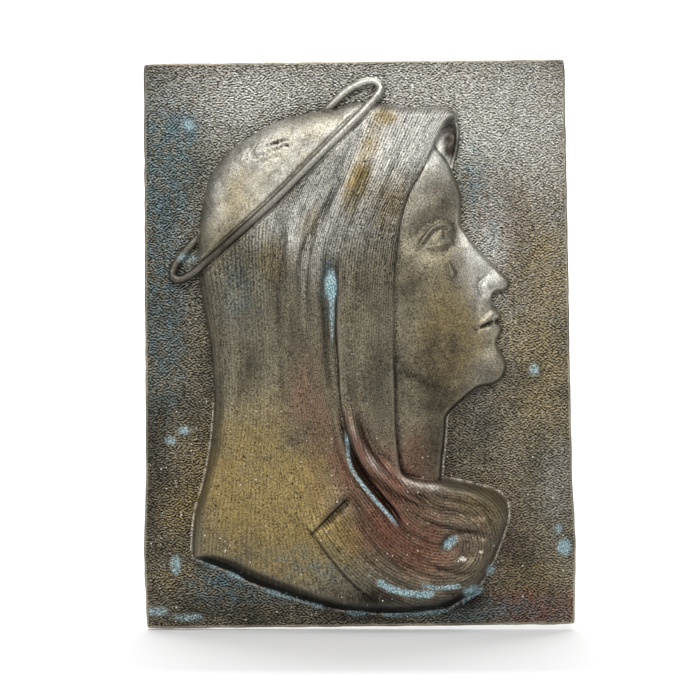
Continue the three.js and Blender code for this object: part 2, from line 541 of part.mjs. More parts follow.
// The plate with its relief: a faceted front, a rolled edge, bevelled back corners and a
// flat back drawn together at its middle
function plateGeometry() {
  const side = GRID + 1;
  const insets = [1 - (2 * EDGE_RADIUS) / PLATE_TOP_WIDTH, 1 - (2 * EDGE_RADIUS) / PLATE_HEIGHT];
  const share = (index, axis) => ((2 * index) / GRID - 1) * insets[axis];
  const heights = new Float32Array(side * side);
  for (let row = 0; row < side; row += 1) {
    for (let column = 0; column < side; column += 1) {
      heights[row * side + column] = frontHeight(...onPlate(share(column, 0), share(row, 1)));
    }
  }

  const positions = [];
  const addVertex = (x, y, z) => positions.push(x, y, z) / 3 - 1;
  const numbers = new Map();
  const vertexAt = (column, row) => {
    const node = row * side + column;
    if (!numbers.has(node)) {
      const [x, z] = onPlate(share(column, 0), share(row, 1));
      numbers.set(node, addVertex(x, -PLATE_THICKNESS - heights[node], z));
    }
    return numbers.get(node);
  };
  const indices = adaptiveTriangles(heights).flatMap(([ax, az, bx, bz, cx, cz]) => (
    [vertexAt(ax, az), vertexAt(cx, cz), vertexAt(bx, bz)]));

  const span = Array.from({ length: GRID }, (_, index) => index);
  const border = [
    ...span.map((index) => [index, 0]),
    ...span.map((index) => [GRID, index]),
    ...span.map((index) => [GRID - index, GRID]),
    ...span.map((index) => [0, GRID - index]),
  ].filter(([column, row]) => numbers.has(row * side + column));
  const ring = (outward, y) => border.map(([column, row]) => {
    const scales = [column, row].map((index, axis) => (
      share(index, axis) * lerp(1, 1 / insets[axis], outward)));
    const [x, z] = onPlate(...scales);
    return addVertex(x, y, z);
  });
  const quarter = Math.PI / 2;
  const rings = [
    border.map(([column, row]) => vertexAt(column, row)),
    ring(Math.sin(quarter / 2), EDGE_RADIUS * (1 - Math.cos(quarter / 2)) - PLATE_THICKNESS),
    ring(1, EDGE_RADIUS - PLATE_THICKNESS),
    ring(1, -BACK_BEVEL),
    ring(1 - BACK_BEVEL / EDGE_RADIUS, 0),
  ];
  const following = (index) => (index + 1) % border.length;
  rings.slice(1).forEach((outer, number) => {
    const inner = rings[number];
    outer.forEach((vertex, index) => {
      indices.push(inner[following(index)], inner[index], vertex);
      indices.push(inner[following(index)], vertex, outer[following(index)]);
    });
  });
  const back = rings.at(-1);
  const middle = addVertex(0, 0, 0);
  back.forEach((vertex, index) => indices.push(back[following(index)], vertex, middle));
  return geometryOf(positions, indices);
}

function geometryOf(positions, indices) {
  const geometry = new THREE.BufferGeometry();
  geometry.setAttribute("position", new THREE.Float32BufferAttribute(positions, 3));
  geometry.setIndex(indices);
  return geometry;
}

// The halo's rod: half-round outside, with a straight foot down into the plate
function rodGeometry() {
  const points = HALO.map(([x, z, lift]) => new THREE.Vector3(x, -lift, z).multiplyScalar(UNIT));
  const curve = new THREE.CatmullRomCurve3(points, true, "catmullrom", 0.5);
  const radius = ROD_DIAMETER / 2;
  const foot = ROD_ROOT - PLATE_THICKNESS;
  const positions = [];
  for (let station = 0; station < ROD_STATIONS; station += 1) {
    const centre = curve.getPointAt(station / ROD_STATIONS);
    const tangent = curve.getTangentAt(station / ROD_STATIONS);
    const flat = Math.hypot(tangent.x, tangent.z);
    const [sideX, sideZ] = [-tangent.z / flat, tangent.x / flat];
    const point = (sideways, y) => positions.push(centre.x + sideX * sideways, y, centre.z + sideZ * sideways);
    for (let corner = 0; corner <= ROD_SIDES; corner += 1) {
      const angle = (Math.PI * corner) / ROD_SIDES;
      point(radius * Math.cos(angle), centre.y - PLATE_THICKNESS - radius * Math.sin(angle));
    }
    point(-radius, foot);
    point(radius, foot);
  }
  const corners = ROD_SIDES + 3;
  const indices = [];
  for (let station = 0; station < ROD_STATIONS; station += 1) {
    const [here, next] = [station, (station + 1) % ROD_STATIONS].map((number) => number * corners);
    for (let corner = 0; corner < corners; corner += 1) {
      const after = (corner + 1) % corners;
      indices.push(here + corner, next + after, next + corner, here + corner, here + after, next + after);
    }
  }
  return geometryOf(positions, indices);
}

// The hollow of the casting's back: an oval with drafted sides and a flat floor
function hollowGeometry() {
  const depth = PLATE_THICKNESS + HEIGHT_OVER_HOLLOW - HOLLOW_WALL;
  const profile = [[0, depth], [0.7, depth], [0.86, 0.93 * depth], [0.94, 0.72 * depth], [1, 0], [1, -1], [0, -1]];
  const outline = profile.map(([radius, level]) => new THREE.Vector2(radius, -level));
  const geometry = new THREE.LatheGeometry(outline, HOLLOW_SEGMENTS);
  geometry.scale(HOLLOW_WIDTH / 2, 1, HOLLOW_HEIGHT / 2);
  geometry.translate(HOLLOW_MIDDLE[0] * UNIT, 0, HOLLOW_MIDDLE[1] * UNIT);
  return geometry;
}

const wasm = await Module();
wasm.setup();

function solidOf(geometry) {
  geometry.deleteAttribute("normal");
  geometry.deleteAttribute("uv");
  const merged = mergeVertices(geometry, 1e-4);
  return new wasm.Manifold(new wasm.Mesh({
    numProp: 3,
    vertProperties: merged.attributes.position.array,
    triVerts: Uint32Array.from(merged.index.array),
  }));
}

function meshOf(name, solid, material) {
  const { vertProperties, triVerts } = solid.getMesh();
  const geometry = geometryOf(Array.from(vertProperties), Array.from(triVerts));
  geometry.computeVertexNormals();
  const mesh = new THREE.Mesh(geometry, material);
  mesh.name = name;
  return mesh;
}

const castBronze = new THREE.MeshStandardMaterial({ color: 0x6f6047, roughness: 0.45, metalness: 0.85 });
const casting = solidOf(plateGeometry()).add(solidOf(rodGeometry())).subtract(solidOf(hollowGeometry()));

const plaque = new THREE.Group();
plaque.add(meshOf("plaque", casting, castBronze));
export default plaque;
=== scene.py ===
"""Relief plaque of patinated cast bronze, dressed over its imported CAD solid.

A veiled head in profile stands in low relief on a hand-stippled plate, with a ring-shaped
halo seen almost edge-on. The relief is one height over the plate, in millimetres, worked
out on a net of points that is drawn together where the form bends. It becomes one closed
casting with a rolled edge and a hollow back, in metres.
"""

import sys
import logging
import math
from dataclasses import dataclass, field
from enum import Enum
from typing import Any, NamedTuple, Sequence

import bpy
import numpy as np
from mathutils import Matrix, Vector


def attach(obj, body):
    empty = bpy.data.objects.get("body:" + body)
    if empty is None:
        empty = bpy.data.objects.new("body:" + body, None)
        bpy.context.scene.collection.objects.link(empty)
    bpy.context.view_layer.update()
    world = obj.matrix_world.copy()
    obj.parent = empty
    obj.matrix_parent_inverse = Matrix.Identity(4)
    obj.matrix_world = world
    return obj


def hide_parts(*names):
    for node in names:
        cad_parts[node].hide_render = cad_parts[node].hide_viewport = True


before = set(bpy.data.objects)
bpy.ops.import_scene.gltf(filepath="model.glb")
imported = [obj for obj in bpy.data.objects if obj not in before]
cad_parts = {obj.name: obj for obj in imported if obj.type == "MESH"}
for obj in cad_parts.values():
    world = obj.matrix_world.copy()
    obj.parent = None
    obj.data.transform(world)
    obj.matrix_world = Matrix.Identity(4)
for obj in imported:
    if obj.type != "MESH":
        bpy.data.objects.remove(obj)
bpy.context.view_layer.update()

LOG = logging.getLogger("plaque")
MM = 0.001
CURVE_STEPS = 5
Array = np.ndarray
Points = Sequence[Sequence[float]]


# Veil and scarf, around their outline: x, z, width of the rounded edge, share of the
# cloth's height that stands at the edge itself
CROWN = (
    (0, 120, 7, 0), (-6.5, 118.5, 9, 0), (-13, 116.5, 12, 0), (-24, 115, 13, 0), (-39, 111, 14, 0),
    (-52, 104, 14, 0), (-64, 95.5, 14, 0), (-73, 83.5, 14, 0), (-77.5, 64.5, 13, 0), (-79, 52, 11, 0),
    (-79, 39.5, 8, 0), (-77, 22, 6, 0), (-73, -0.5, 5.5, 0), (-71, -25.5, 5.5, 0), (-72.5, -48, 5.5, 0),
    (-76, -67, 5.5, 0), (-80.5, -84, 5.5, 0), (-82, -98, 5, 0), (-81.5, -105, 3, 0),
)
CUT_BASE = (
    (-80.5, -106.5, 3, 0), (-73, -109.5, 5.5, 0), (-64, -113, 6.8, 0), (-53, -118.5, 7.2, 0),
    (-41.5, -123, 7, 0), (-29, -127, 6.5, 0), (-16.5, -130.5, 5.6, 0), (-3, -133, 5.2, 0),
    (16, -134, 5.6, 0),
    (32, -133.5, 6, 0), (44, -131.5, 5.6, 0), (52.5, -127, 5, 0),
)
SCARF_END = (
    (59, -122, 5.5, 0), (64, -114.5, 6.5, 0), (68.5, -105.5, 7.5, 0), (72, -96.5, 8, 0),
    (74.5, -88.5, 8, 0), (75.2, -83, 8, 0), (73.5, -77, 8, 0), (69, -73, 7.5, 0), (62, -70.8, 7, 0),
    (53.5, -68.8, 6, 0), (45, -67.2, 4.5, 0.1),
)
SCARF_AT_NECK = (
    (40, -67.2, 3.6, 0.6), (33.5, -67, 3.5, 0.62), (27, -65.8, 3.2, 0.62),
)
VEIL_AT_FACE = (
    (22.5, -63, 2.4, 0.75), (20.5, -53, 2.2, 0.86), (19.5, -40.5, 2, 0.88), (19, -23, 2, 0.9),
    (18.5, -3, 2, 0.92), (19, 17, 2.2, 0.84), (19.5, 34.5, 2.4, 0.74), (21, 49.5, 2.5, 0.66),
    (23, 63, 2.6, 0.62), (27.5, 75.5, 2.8, 0.6), (32, 83, 2.8, 0.6), (36, 91.5, 2.8, 0.58),
    (39, 99, 2.8, 0.55), (41.5, 105, 2.6, 0.5), (44.5, 109.2, 2.4, 0.45), (47.5, 111.2, 2.2, 0.4),
)
HOOD = (
    (50, 111.5, 2.5, 0.1), (50, 114, 3.5, 0), (46.5, 117, 5, 0), (41, 118, 5.5, 0), (33.5, 117.8, 6, 0),
    (23.5, 118, 6, 0), (15, 119.2, 6, 0), (7, 120.2, 6, 0),
)

# Far side of the hood's opening, and the front of the neck: x, z
HOOD_FAR_SIDE = (
    (41, 89.5), (47, 86), (48.8, 90.5), (50.2, 96.5), (51, 102), (50.8, 108), (49, 112.5), (44, 113),
    (38, 107), (33, 97),
)
NECK_FRONT = (
    (45.5, -34.5), (44.2, -40.5), (43.5, -48), (42.5, -57), (41.5, -69),
)

# Height of the cloth above the ground of the plate: x, z, height
CLOTH_LEVELS = (
    (-44, 92, 9.5), (-64, 72, 8.2), (-24, 102, 9), (-54, 62, 7.6), (-9, 112, 7.8), (-59, 41, 6.4),
    (-34, 62, 8), (-9, 87, 10), (16, 107, 9.5), (36, 109.5, 8), (31, 72, 9.6), (-64, 12, 5.8),
    (-64, -18, 6), (-66.5, -48, 7.2), (-66.5, -78, 9.2), (-71.5, -98, 10.2), (-44, 22, 7),
    (-44, -18, 7.2), (-44, -53, 9), (-39, -88, 11.2), (-34, -113, 12.2), (-24, 22, 8.5),
    (-21.5, -18, 8.2), (-19, -48, 9.2), (-14, -88, 11), (-9, -123, 12), (1, 22, 9.5), (3.5, -8, 9),
    (6, -38, 8.6), (16, 22, 9.4), (18.5, -28, 8.2), (21, -78, 11), (41, -78, 10.5), (61, -80.5, 8.5),
    (21, -108, 12), (46, -108, 11), (61, -103, 8.5), (26, -128, 12),
)

# The face, in thirds of its own height: forward, and up from the base of the nose
PROFILE = (
    (-0.26, 2.0), (-0.1, 1.76), (0, 1.55), (0.045, 1.32), (0.05, 1.12), (0.015, 0.98), (-0.03, 0.86),
    (-0.035, 0.78), (0.02, 0.62), (0.12, 0.4), (0.225, 0.2), (0.285, 0.11), (0.31, 0.04),
    (0.285, -0.025), (0.21, -0.055), (0.12, -0.055), (0.065, -0.09), (0.055, -0.18), (0.09, -0.245),
    (0.115, -0.29), (0.095, -0.335), (0.045, -0.36), (0.075, -0.395), (0.085, -0.445), (0.045, -0.51),
    (-0.01, -0.56), (-0.02, -0.63), (0.015, -0.74), (0.02, -0.85), (-0.03, -0.95), (-0.13, -1.02),
    (-0.25, -1.03),
)
HEAD_PLANE = (
    (-0.26, 2.0), (0.0, 1.6), (0.04, 1.2), (0.02, 0.8), (0.07, 0.4), (0.09, 0), (0.06, -0.4),
    (0.02, -0.75), (-0.1, -0.98), (-0.3, -1.04),
)
JAW = (
    (-0.18, -1.06), (-0.45, -1.02), (-0.75, -0.9), (-1, -0.68), (-1.16, -0.38), (-1.22, 0),
)
# Rounded masses of the face: forward, up, half length, half height, height in mm, turn
MASSES = (
    (-0.6, 0.4, 0.3, 0.22, 1.3, 0.3), (-0.42, 0.05, 0.26, 0.4, 0.5, 0),
    (-0.33, 0.79, 0.27, 0.17, -2.4, -0.15), (-0.1, 0.74, 0.09, 0.12, -1.2, 0),
    (-0.45, 1.45, 0.5, 0.3, 0.5, 0), (-0.31, 0.75, 0.15, 0.1, 1.9, 0.12), (0.2, 0.05, 0.11, 0.1, 1.2, 0),
    (0.05, 0.045, 0.1, 0.095, 1.7, 0), (0.14, -0.035, 0.05, 0.022, -1.4, 0.15),
    (-0.205, -0.378, 0.032, 0.04, -0.6, 0), (-0.05, -0.57, 0.12, 0.065, -0.9, 0),
    (-0.08, -0.8, 0.17, 0.14, 1.4, 0), (-0.28, -0.6, 0.2, 0.2, -0.35, 0),
)
# Drawn lines of the face: half width, height in mm, fade at each end, points
STROKES = (
    (0.1, 1.0, (0.3, 0.6), ((0, 1.02), (-0.18, 1.065), (-0.42, 1.055), (-0.68, 0.95), (-0.86, 0.78))),
    (0.028, 1.35, (0.04, 0.3), ((-0.155, 0.775), (-0.185, 0.835), (-0.29, 0.865), (-0.42, 0.82),
                                (-0.62, 0.66))),
    (0.03, -0.35, (0.3, 0.4), ((-0.16, 0.9), (-0.24, 0.945), (-0.36, 0.945), (-0.5, 0.885),
                               (-0.66, 0.75))),
    (0.024, 0.8, (0.05, 0.3), ((-0.185, 0.665), (-0.27, 0.64), (-0.38, 0.64), (-0.55, 0.67))),
    (0.035, -0.25, (0.3, 0.3), ((-0.2, 0.59), (-0.32, 0.555), (-0.5, 0.58))),
    (0.09, 1, (0.25, 0.2), ((-0.005, 0.86), (0, 0.66), (0.07, 0.42), (0.155, 0.2))),
    (0.026, -0.9, (0.25, 0.2), ((0.11, 0.155), (0.02, 0.155), (-0.045, 0.09), (-0.045, 0),
                                (-0.01, -0.055))),
    (0.05, -0.45, (0.3, 0.6), ((-0.06, 0), (-0.13, -0.13), (-0.2, -0.3))),
    (0.034, 1.2, (0.02, 0.4), ((0.1, -0.275), (0.045, -0.265), (-0.03, -0.29), (-0.175, -0.36))),
    (0.04, 1.3, (0.02, 0.4), ((0.08, -0.425), (0.01, -0.435), (-0.07, -0.42), (-0.14, -0.39))),
    (0.017, -1.5, (0.02, 0.25), ((0.06, -0.355), (-0.02, -0.352), (-0.1, -0.36), (-0.19, -0.375))),
)
# Lines of the face too fine for the casting's solid: pupil's rim, lower lid's edge, the
# groove under the nose and the long muscle of the neck
FINE_STROKES = (
    (0.012, -0.4, (0.3, 0.3), ((-0.235, 0.8), (-0.262, 0.75), (-0.245, 0.7))),
    (0.012, 0.35, (0.3, 0.3), ((-0.2, 0.69), (-0.28, 0.668), (-0.4, 0.668), (-0.52, 0.69))),
    (0.03, -0.35, (0.3, 0.3), ((0.04, -0.1), (0.035, -0.2))),
    (0.14, 0.9, (0.3, 0.1), ((-0.72, -1.05), (-0.62, -1.5), (-0.5, -2.1))),
)

# Halo: x, z, height of the rod's centre above the ground
HALO = (
    (-79, 37, 5), (-59, 54.5, 7), (-39, 72.8, 8.8), (-19, 92.8, 10.2), (-4, 107.8, 10.2),
    (4.5, 116.5, 8.8), (10, 123, 6), (11.5, 127, 4.6), (9.5, 129.8, 4), (5.5, 130.4, 3.6),
    (1, 129, 3.2), (-4, 126.5, 3), (-10, 121.5, 2.6), (-29, 102.5, 1.5), (-54, 77, 1.5),
    (-71.5, 60, 1.8), (-80, 52, 2.6), (-83.5, 48.2, 2.8), (-87, 44, 3), (-90.5, 39, 3.2),
    (-91.8, 35, 3.6), (-90.5, 32.5, 4), (-87.5, 32, 4.4), (-84, 33.5, 4.6),
)


class FoldKind(Enum):
    """How a fold of the cloth stands: a rounded ridge, a hollow line, or an edge of cloth
    lying over what is on the right of its line."""

    ROLL = "roll"
    GROOVE = "groove"
    LAP = "lap"


def blend(value: Array, start: float = 0.0, end: float = 1.0) -> Array:
    """Smooth rise from 0 at start to 1 at end: 3t² − 2t³."""
    t = np.clip((value - start) / (end - start), 0, 1)
    return t * t * (3 - 2 * t)


def bell(value: Array) -> Array:
    """Bell of 1 at zero: e to the minus value squared."""
    return np.exp(-value * value)


def round_edge(distance: Array, width: Array | float) -> Array:
    """Quarter-round rise: the height of a unit circle at a share of its width."""
    rest = 1 - np.clip(distance / width, 0, 1)
    return np.sqrt(1 - rest * rest)


def smooth_rows(rows: Points, closed: bool = False, steps: int = CURVE_STEPS) -> Array:
    """Catmull-Rom curve through rows of numbers; every column is carried along it.

    Each span is the cubic that meets both its rows with half the chord of their neighbours
    as slope.

    Args:
        rows: the points, with whatever sizes they carry in further columns.
        closed: whether the curve returns to its first row.
        steps: points on each span.

    Returns:
        One row per point of the curve.
    """
    rows = np.asarray(rows, float)
    last = len(rows) - 1
    spans = np.arange(len(rows) if closed else last)
    wrap = (lambda i: i % len(rows)) if closed else (lambda i: np.clip(i, 0, last))
    before, start, end, after = (rows[wrap(spans + k)][:, None] for k in (-1, 0, 1, 2))
    t = (np.arange(steps) / steps)[None, :, None]
    leave, arrive, change = (end - before) / 2, (after - start) / 2, start - end
    curve = ((2 * change + leave + arrive) * t**3 + (-3 * change - 2 * leave - arrive) * t**2 + leave * t
             + start)
    curve = curve.reshape(-1, rows.shape[1])
    return curve if closed else np.vstack([curve, rows[-1:]])


class Nearest(NamedTuple):
    """What a track says of its nearest point: the distance, the same signed (positive to the
    left of the track or inside it), the share along it, and the sizes carried there."""

    distance: Array
    signed: Array
    along: Array
    sizes: Array


class Track:
    """A line on the plate that every point can be measured against at once."""

    def __init__(self, points: Points, closed: bool = False) -> None:
        """Keeps the spans between the points, and their lengths.

        Args:
            points: x and z in mm, and the sizes carried along.
            closed: whether the last point joins the first.
        """
        points = np.asarray(points, float)
        self.starts = points if closed else points[:-1]
        self.ends = np.roll(points, -1, 0) if closed else points[1:]
        self.closed = closed
        self.lengths = np.hypot(*(self.ends - self.starts)[:, :2].T)
        self.run = np.concatenate([[0], np.cumsum(self.lengths)])
        self.low = points[:, :2].min(0)
        self.high = points[:, :2].max(0)

    def nearest(self, x: Array, z: Array, reach: float = 1e3) -> Nearest:
        """Projects every point onto every span and keeps the closest.

        Args:
            x: places across, in mm.
            z: places up, in mm.
            reach: how far outside the track's box a point is still measured.

        Returns:
            The four answers, as arrays in the points' own order.
        """
        near = ((x > self.low[0] - reach) & (x < self.high[0] + reach)
                & (z > self.low[1] - reach) & (z < self.high[1] + reach))
        px, pz = x[near], z[near]
        best = np.full(px.shape, np.inf)
        side, share = np.zeros(px.shape), np.zeros(px.shape)
        place = np.zeros(px.shape, int)
        inside = np.zeros(px.shape, bool)
        for index, (a, b) in enumerate(zip(self.starts, self.ends)):
            ex, ez = b[0] - a[0], b[1] - a[1]
            wx, wz = px - a[0], pz - a[1]
            t = np.clip((wx * ex + wz * ez) / max(ex * ex + ez * ez, 1e-12), 0, 1)
            gap = (wx - t * ex) ** 2 + (wz - t * ez) ** 2
            closer = gap < best
            best[closer], side[closer] = gap[closer], (ex * wz - ez * wx)[closer]
            place[closer], share[closer] = index, t[closer]
            if self.closed and ez != 0:
                inside ^= ((a[1] > pz) != (b[1] > pz)) & (px < ex * wz / ez + a[0])
        gap = np.sqrt(best)
        left = inside if self.closed else side > 0
        carried = (self.starts[place, 2:] * (1 - share[:, None]) + self.ends[place, 2:] * share[:, None])
        result = Nearest(np.full(x.shape, 1e3), np.full(x.shape, -1e3), np.zeros(x.shape),
                         np.zeros(x.shape + (carried.shape[1],)))
        result.distance[near] = gap
        result.signed[near] = np.where(left, gap, -gap)
        result.along[near] = (self.run[place] + share * self.lengths[place]) / self.run[-1]
        result.sizes[near] = carried
        return result


def fade(along: Array, ends: Sequence[float]) -> Array:
    """Strength of a line along it: in over its first share, out over its last."""
    return blend(along, 0, ends[0]) * blend(1 - along, 0, ends[1])


def ripples(x: Array, z: Array, length: float, seed: int, waves: int = 14) -> Array:
    """Smooth unevenness: a seeded sum of sine waves of about one length in all directions.

    Args:
        x: places across, in mm.
        z: places up, in mm.
        length: middle wavelength in mm.
        seed: picks directions, lengths and phases.
        waves: how many sines are added.

    Returns:
        Values of about −2 to 2 with a spread of 1.
    """
    rng = np.random.default_rng(seed)
    angle = rng.uniform(0, 2 * np.pi, waves)
    pitch = 2 * np.pi / (length * rng.uniform(0.7, 1.5, waves))
    phase = rng.uniform(0, 2 * np.pi, waves)
    total = sum(np.sin(k * (x * np.cos(a) + z * np.sin(a)) + p) for k, a, p in zip(pitch, angle, phase))
    return total * math.sqrt(2 / waves)


@dataclass(frozen=True)
class Fold:
    """One fold of the cloth, drawn as a line with a width and a height in mm."""

    kind: FoldKind
    width: float
    height: float
    ends: tuple[float, float]
    line: Points

    def height_at(self, x: Array, z: Array) -> Array:
        """Height that the fold adds.

        A roll is (1 − (d/w)²)^0.8 and a groove −e^(−(d/w)²) of the distance d. A lap falls off
        as a bell over its own cloth, and dips on the far side of a steep face 0.9 mm wide.

        Args:
            x: places across, in mm.
            z: places up, in mm.

        Returns:
            Heights in mm, negative in a hollow.
        """
        reach = (4 if self.kind is FoldKind.LAP else 2.6) * self.width
        near = Track(smooth_rows(self.line)).nearest(x, z, reach)
        strength = np.where(near.distance < reach, self.height * fade(near.along, self.ends), 0)
        if self.kind is FoldKind.ROLL:
            return strength * np.clip(1 - (near.distance / self.width) ** 2, 0, 1) ** 0.8
        if self.kind is FoldKind.GROOVE:
            return -strength * bell(near.distance / self.width)
        over = bell(np.maximum(near.signed, 0) / self.width)
        under = -0.45 * bell(np.minimum(near.signed, 0) / (0.45 * self.width))
        return strength * (under + (over - under) * blend(near.signed, -0.45, 0.45))


ROLL, GROOVE, LAP = FoldKind
FOLDS = (
    Fold(ROLL, 5.5, 1.5, (0.12, 0.45), ((-2, 113), (-10, 97), (-18, 83), (-24.5, 70), (-30, 56),
         (-32.5, 43), (-34, 22), (-33.5, -3), (-32, -33))),
    Fold(GROOVE, 1.4, 1.5, (0.3, 0.5), ((-3, 92), (-10, 79), (-15.5, 68), (-22, 56.5), (-27.5, 44.5),
         (-29, 34.5), (-28.5, 17))),
    Fold(ROLL, 4.2, 1.5, (0.2, 0.45), ((4, 99), (-5, 77), (-12, 63), (-17.5, 50), (-20.5, 38),
         (-21, 17), (-19, -8), (-16, -33))),
    Fold(GROOVE, 3.2, 0.9, (0.3, 0.45), ((-11.5, 97), (-20, 82), (-29, 66), (-37, 50), (-40, 32),
         (-40.5, 2))),
    Fold(GROOVE, 2, 0.8, (0.3, 0.3), ((7, 97), (2, 79.5), (-3, 64.5), (-8, 52), (-11.5, 41))),
    Fold(ROLL, 6, 0.9, (0.3, 0.45), ((18.5, 109.5), (12, 89.5), (5, 69.5), (-0.5, 49.5), (-4, 22))),
    Fold(GROOVE, 3, 0.7, (0.3, 0.45), ((28.5, 107), (22, 89.5), (15, 69.5), (10, 47), (8, 17))),
    Fold(ROLL, 5, 0.7, (0.3, 0.45), ((36, 107), (29, 89.5), (21, 69.5), (15.5, 47), (14, 17))),
    Fold(GROOVE, 3.5, 0.6, (0.3, 0.45), ((-50, 43), (-52, 12), (-52, -18), (-53, -48), (-56, -83))),
    Fold(ROLL, 5, 0.6, (0.3, 0.4), ((-61, 41), (-63, 12), (-62.5, -18), (-64.5, -48), (-70, -83))),
    Fold(GROOVE, 2.6, 0.5, (0.35, 0.4), ((-71, 34.5), (-69, 7), (-68, -23), (-69.5, -48),
         (-74.5, -80.5))),
    Fold(GROOVE, 3, 1.8, (0.14, 0.8), ((-13.5, 45), (-13.5, 36), (-13.5, 26), (-13.5, 9.5), (-12.5, -8),
         (-11, -28))),
    Fold(GROOVE, 3.2, 1, (0.3, 0.3), ((-14.5, 22), (-13.5, 2), (-12, -18), (-9.5, -33))),
    Fold(LAP, 8, 1.4, (0.3, 0.25), ((-9.5, 44.5), (-10, 27), (-10.5, 7), (-9.5, -8), (-8.5, -25.5),
         (-6.5, -38), (-4, -49))),
    Fold(GROOVE, 1.4, 3.8, (0.6, 0.14), ((-9.5, -20.5), (-7.5, -32), (-5, -44), (-2, -55.5), (3, -65),
         (10, -74), (17, -82), (23, -91))),
    Fold(ROLL, 2.6, 1.4, (0.25, 0.3), ((-12, -28), (-9.5, -43), (-6, -55.5), (-0.5, -65), (6.5, -73.5),
         (13.5, -82), (21, -93), (31, -102))),
    Fold(ROLL, 4.4, 3, (0.25, 0.4), ((-6, -28), (-2.5, -40.5), (1.5, -51.5), (8, -61), (17, -69),
         (28, -75.5), (43.5, -82))),
    Fold(GROOVE, 2.2, 1.2, (0.3, 0.3), ((0, -33), (4, -44), (10, -53), (17, -60), (22, -65))),
    Fold(ROLL, 4.2, 1.7, (0.2, 0.3), ((20, -65), (29, -70), (41, -72.5), (54, -74.5), (65, -77.5),
         (72, -84))),
    Fold(GROOVE, 1.6, 1.2, (0.3, 0.4), ((20, -67), (27, -73), (35, -78), (44, -82), (54, -84.5),
         (64, -86))),
    Fold(ROLL, 3.6, 1.2, (0.3, 0.35), ((31, -81), (41, -86), (52, -89), (63, -89), (71, -86))),
    Fold(GROOVE, 1.7, 1.3, (0.15, 0.5), ((43, -102.5), (44.5, -97), (49, -94), (56, -94), (64, -95.5),
         (72, -93))),
    Fold(ROLL, 4.5, 1.1, (0.3, 0.35), ((33.5, -100.5), (41, -106), (50, -109), (60, -108),
         (68, -100.5))),
    Fold(LAP, 6, 1.5, (0.04, 0.2), ((-22.5, -93.5), (-16.5, -87.5), (-10.5, -81.5), (-4, -75.5))),
    Fold(LAP, 6, 1.3, (0.04, 0.5), ((-22.5, -92), (-16.5, -101), (-6.5, -113.5), (5, -124),
         (15, -130))),
    Fold(GROOVE, 2.2, 1.6, (0.25, 0.3), ((-19, -91), (-12, -84), (-4.5, -77.5), (1.5, -81))),
    Fold(GROOVE, 2.2, 1.0, (0.15, 0.5), ((-3.5, -77.5), (0.5, -81), (4, -87), (8, -98))),
    Fold(GROOVE, 2.6, 1, (0.3, 0.35), ((-1, -82), (7, -93), (17, -104), (27, -112), (41, -119))),
    Fold(ROLL, 4, 0.9, (0.3, 0.35), ((-4, -89), (6, -101.5), (17.5, -111.5), (31, -118), (46, -122))),
)
# Fine flutes of the scarf, between its larger rolls
FLUTES = (
    Fold(GROOVE, 1.1, 0.5, (0.2, 0.3), ((2, -50), (9, -58.5), (18, -66), (28, -71.5), (42, -76),
                                        (56, -79))),
    Fold(GROOVE, 1.0, 0.55, (0.2, 0.3), ((6, -62), (14, -70), (24, -77), (36, -82), (48, -86.5),
                                         (60, -88.5))),
    Fold(GROOVE, 1.1, 0.6, (0.2, 0.3), ((12, -72), (21, -80), (31, -86), (42, -90.5), (52, -92))),
    Fold(ROLL, 1.8, 0.5, (0.2, 0.4), ((14, -68), (24, -74.5), (36, -79), (50, -82), (64, -83.5))),
    Fold(GROOVE, 1.0, 0.5, (0.2, 0.3), ((29, -93), (36, -99.5), (44, -104.5), (54, -106), (63, -103))),
    Fold(GROOVE, 1.1, 0.6, (0.25, 0.3), ((22, -97), (30, -105), (40, -111), (52, -113.5), (61, -110))),
    Fold(GROOVE, 1.0, 0.5, (0.25, 0.3), ((12, -100), (21, -109), (32, -116), (44, -119.5), (54, -117))),
    Fold(GROOVE, 0.9, 0.45, (0.25, 0.3), ((4, -90), (12, -103), (23, -112), (36, -120), (48, -123))),
    Fold(ROLL, 1.5, 0.4, (0.25, 0.3), ((48, -70.5), (58, -74), (66, -79), (70, -86), (69, -96))),
    Fold(GROOVE, 0.9, 0.4, (0.25, 0.3), ((56, -78), (63, -83), (66.5, -90), (65, -98))),
)


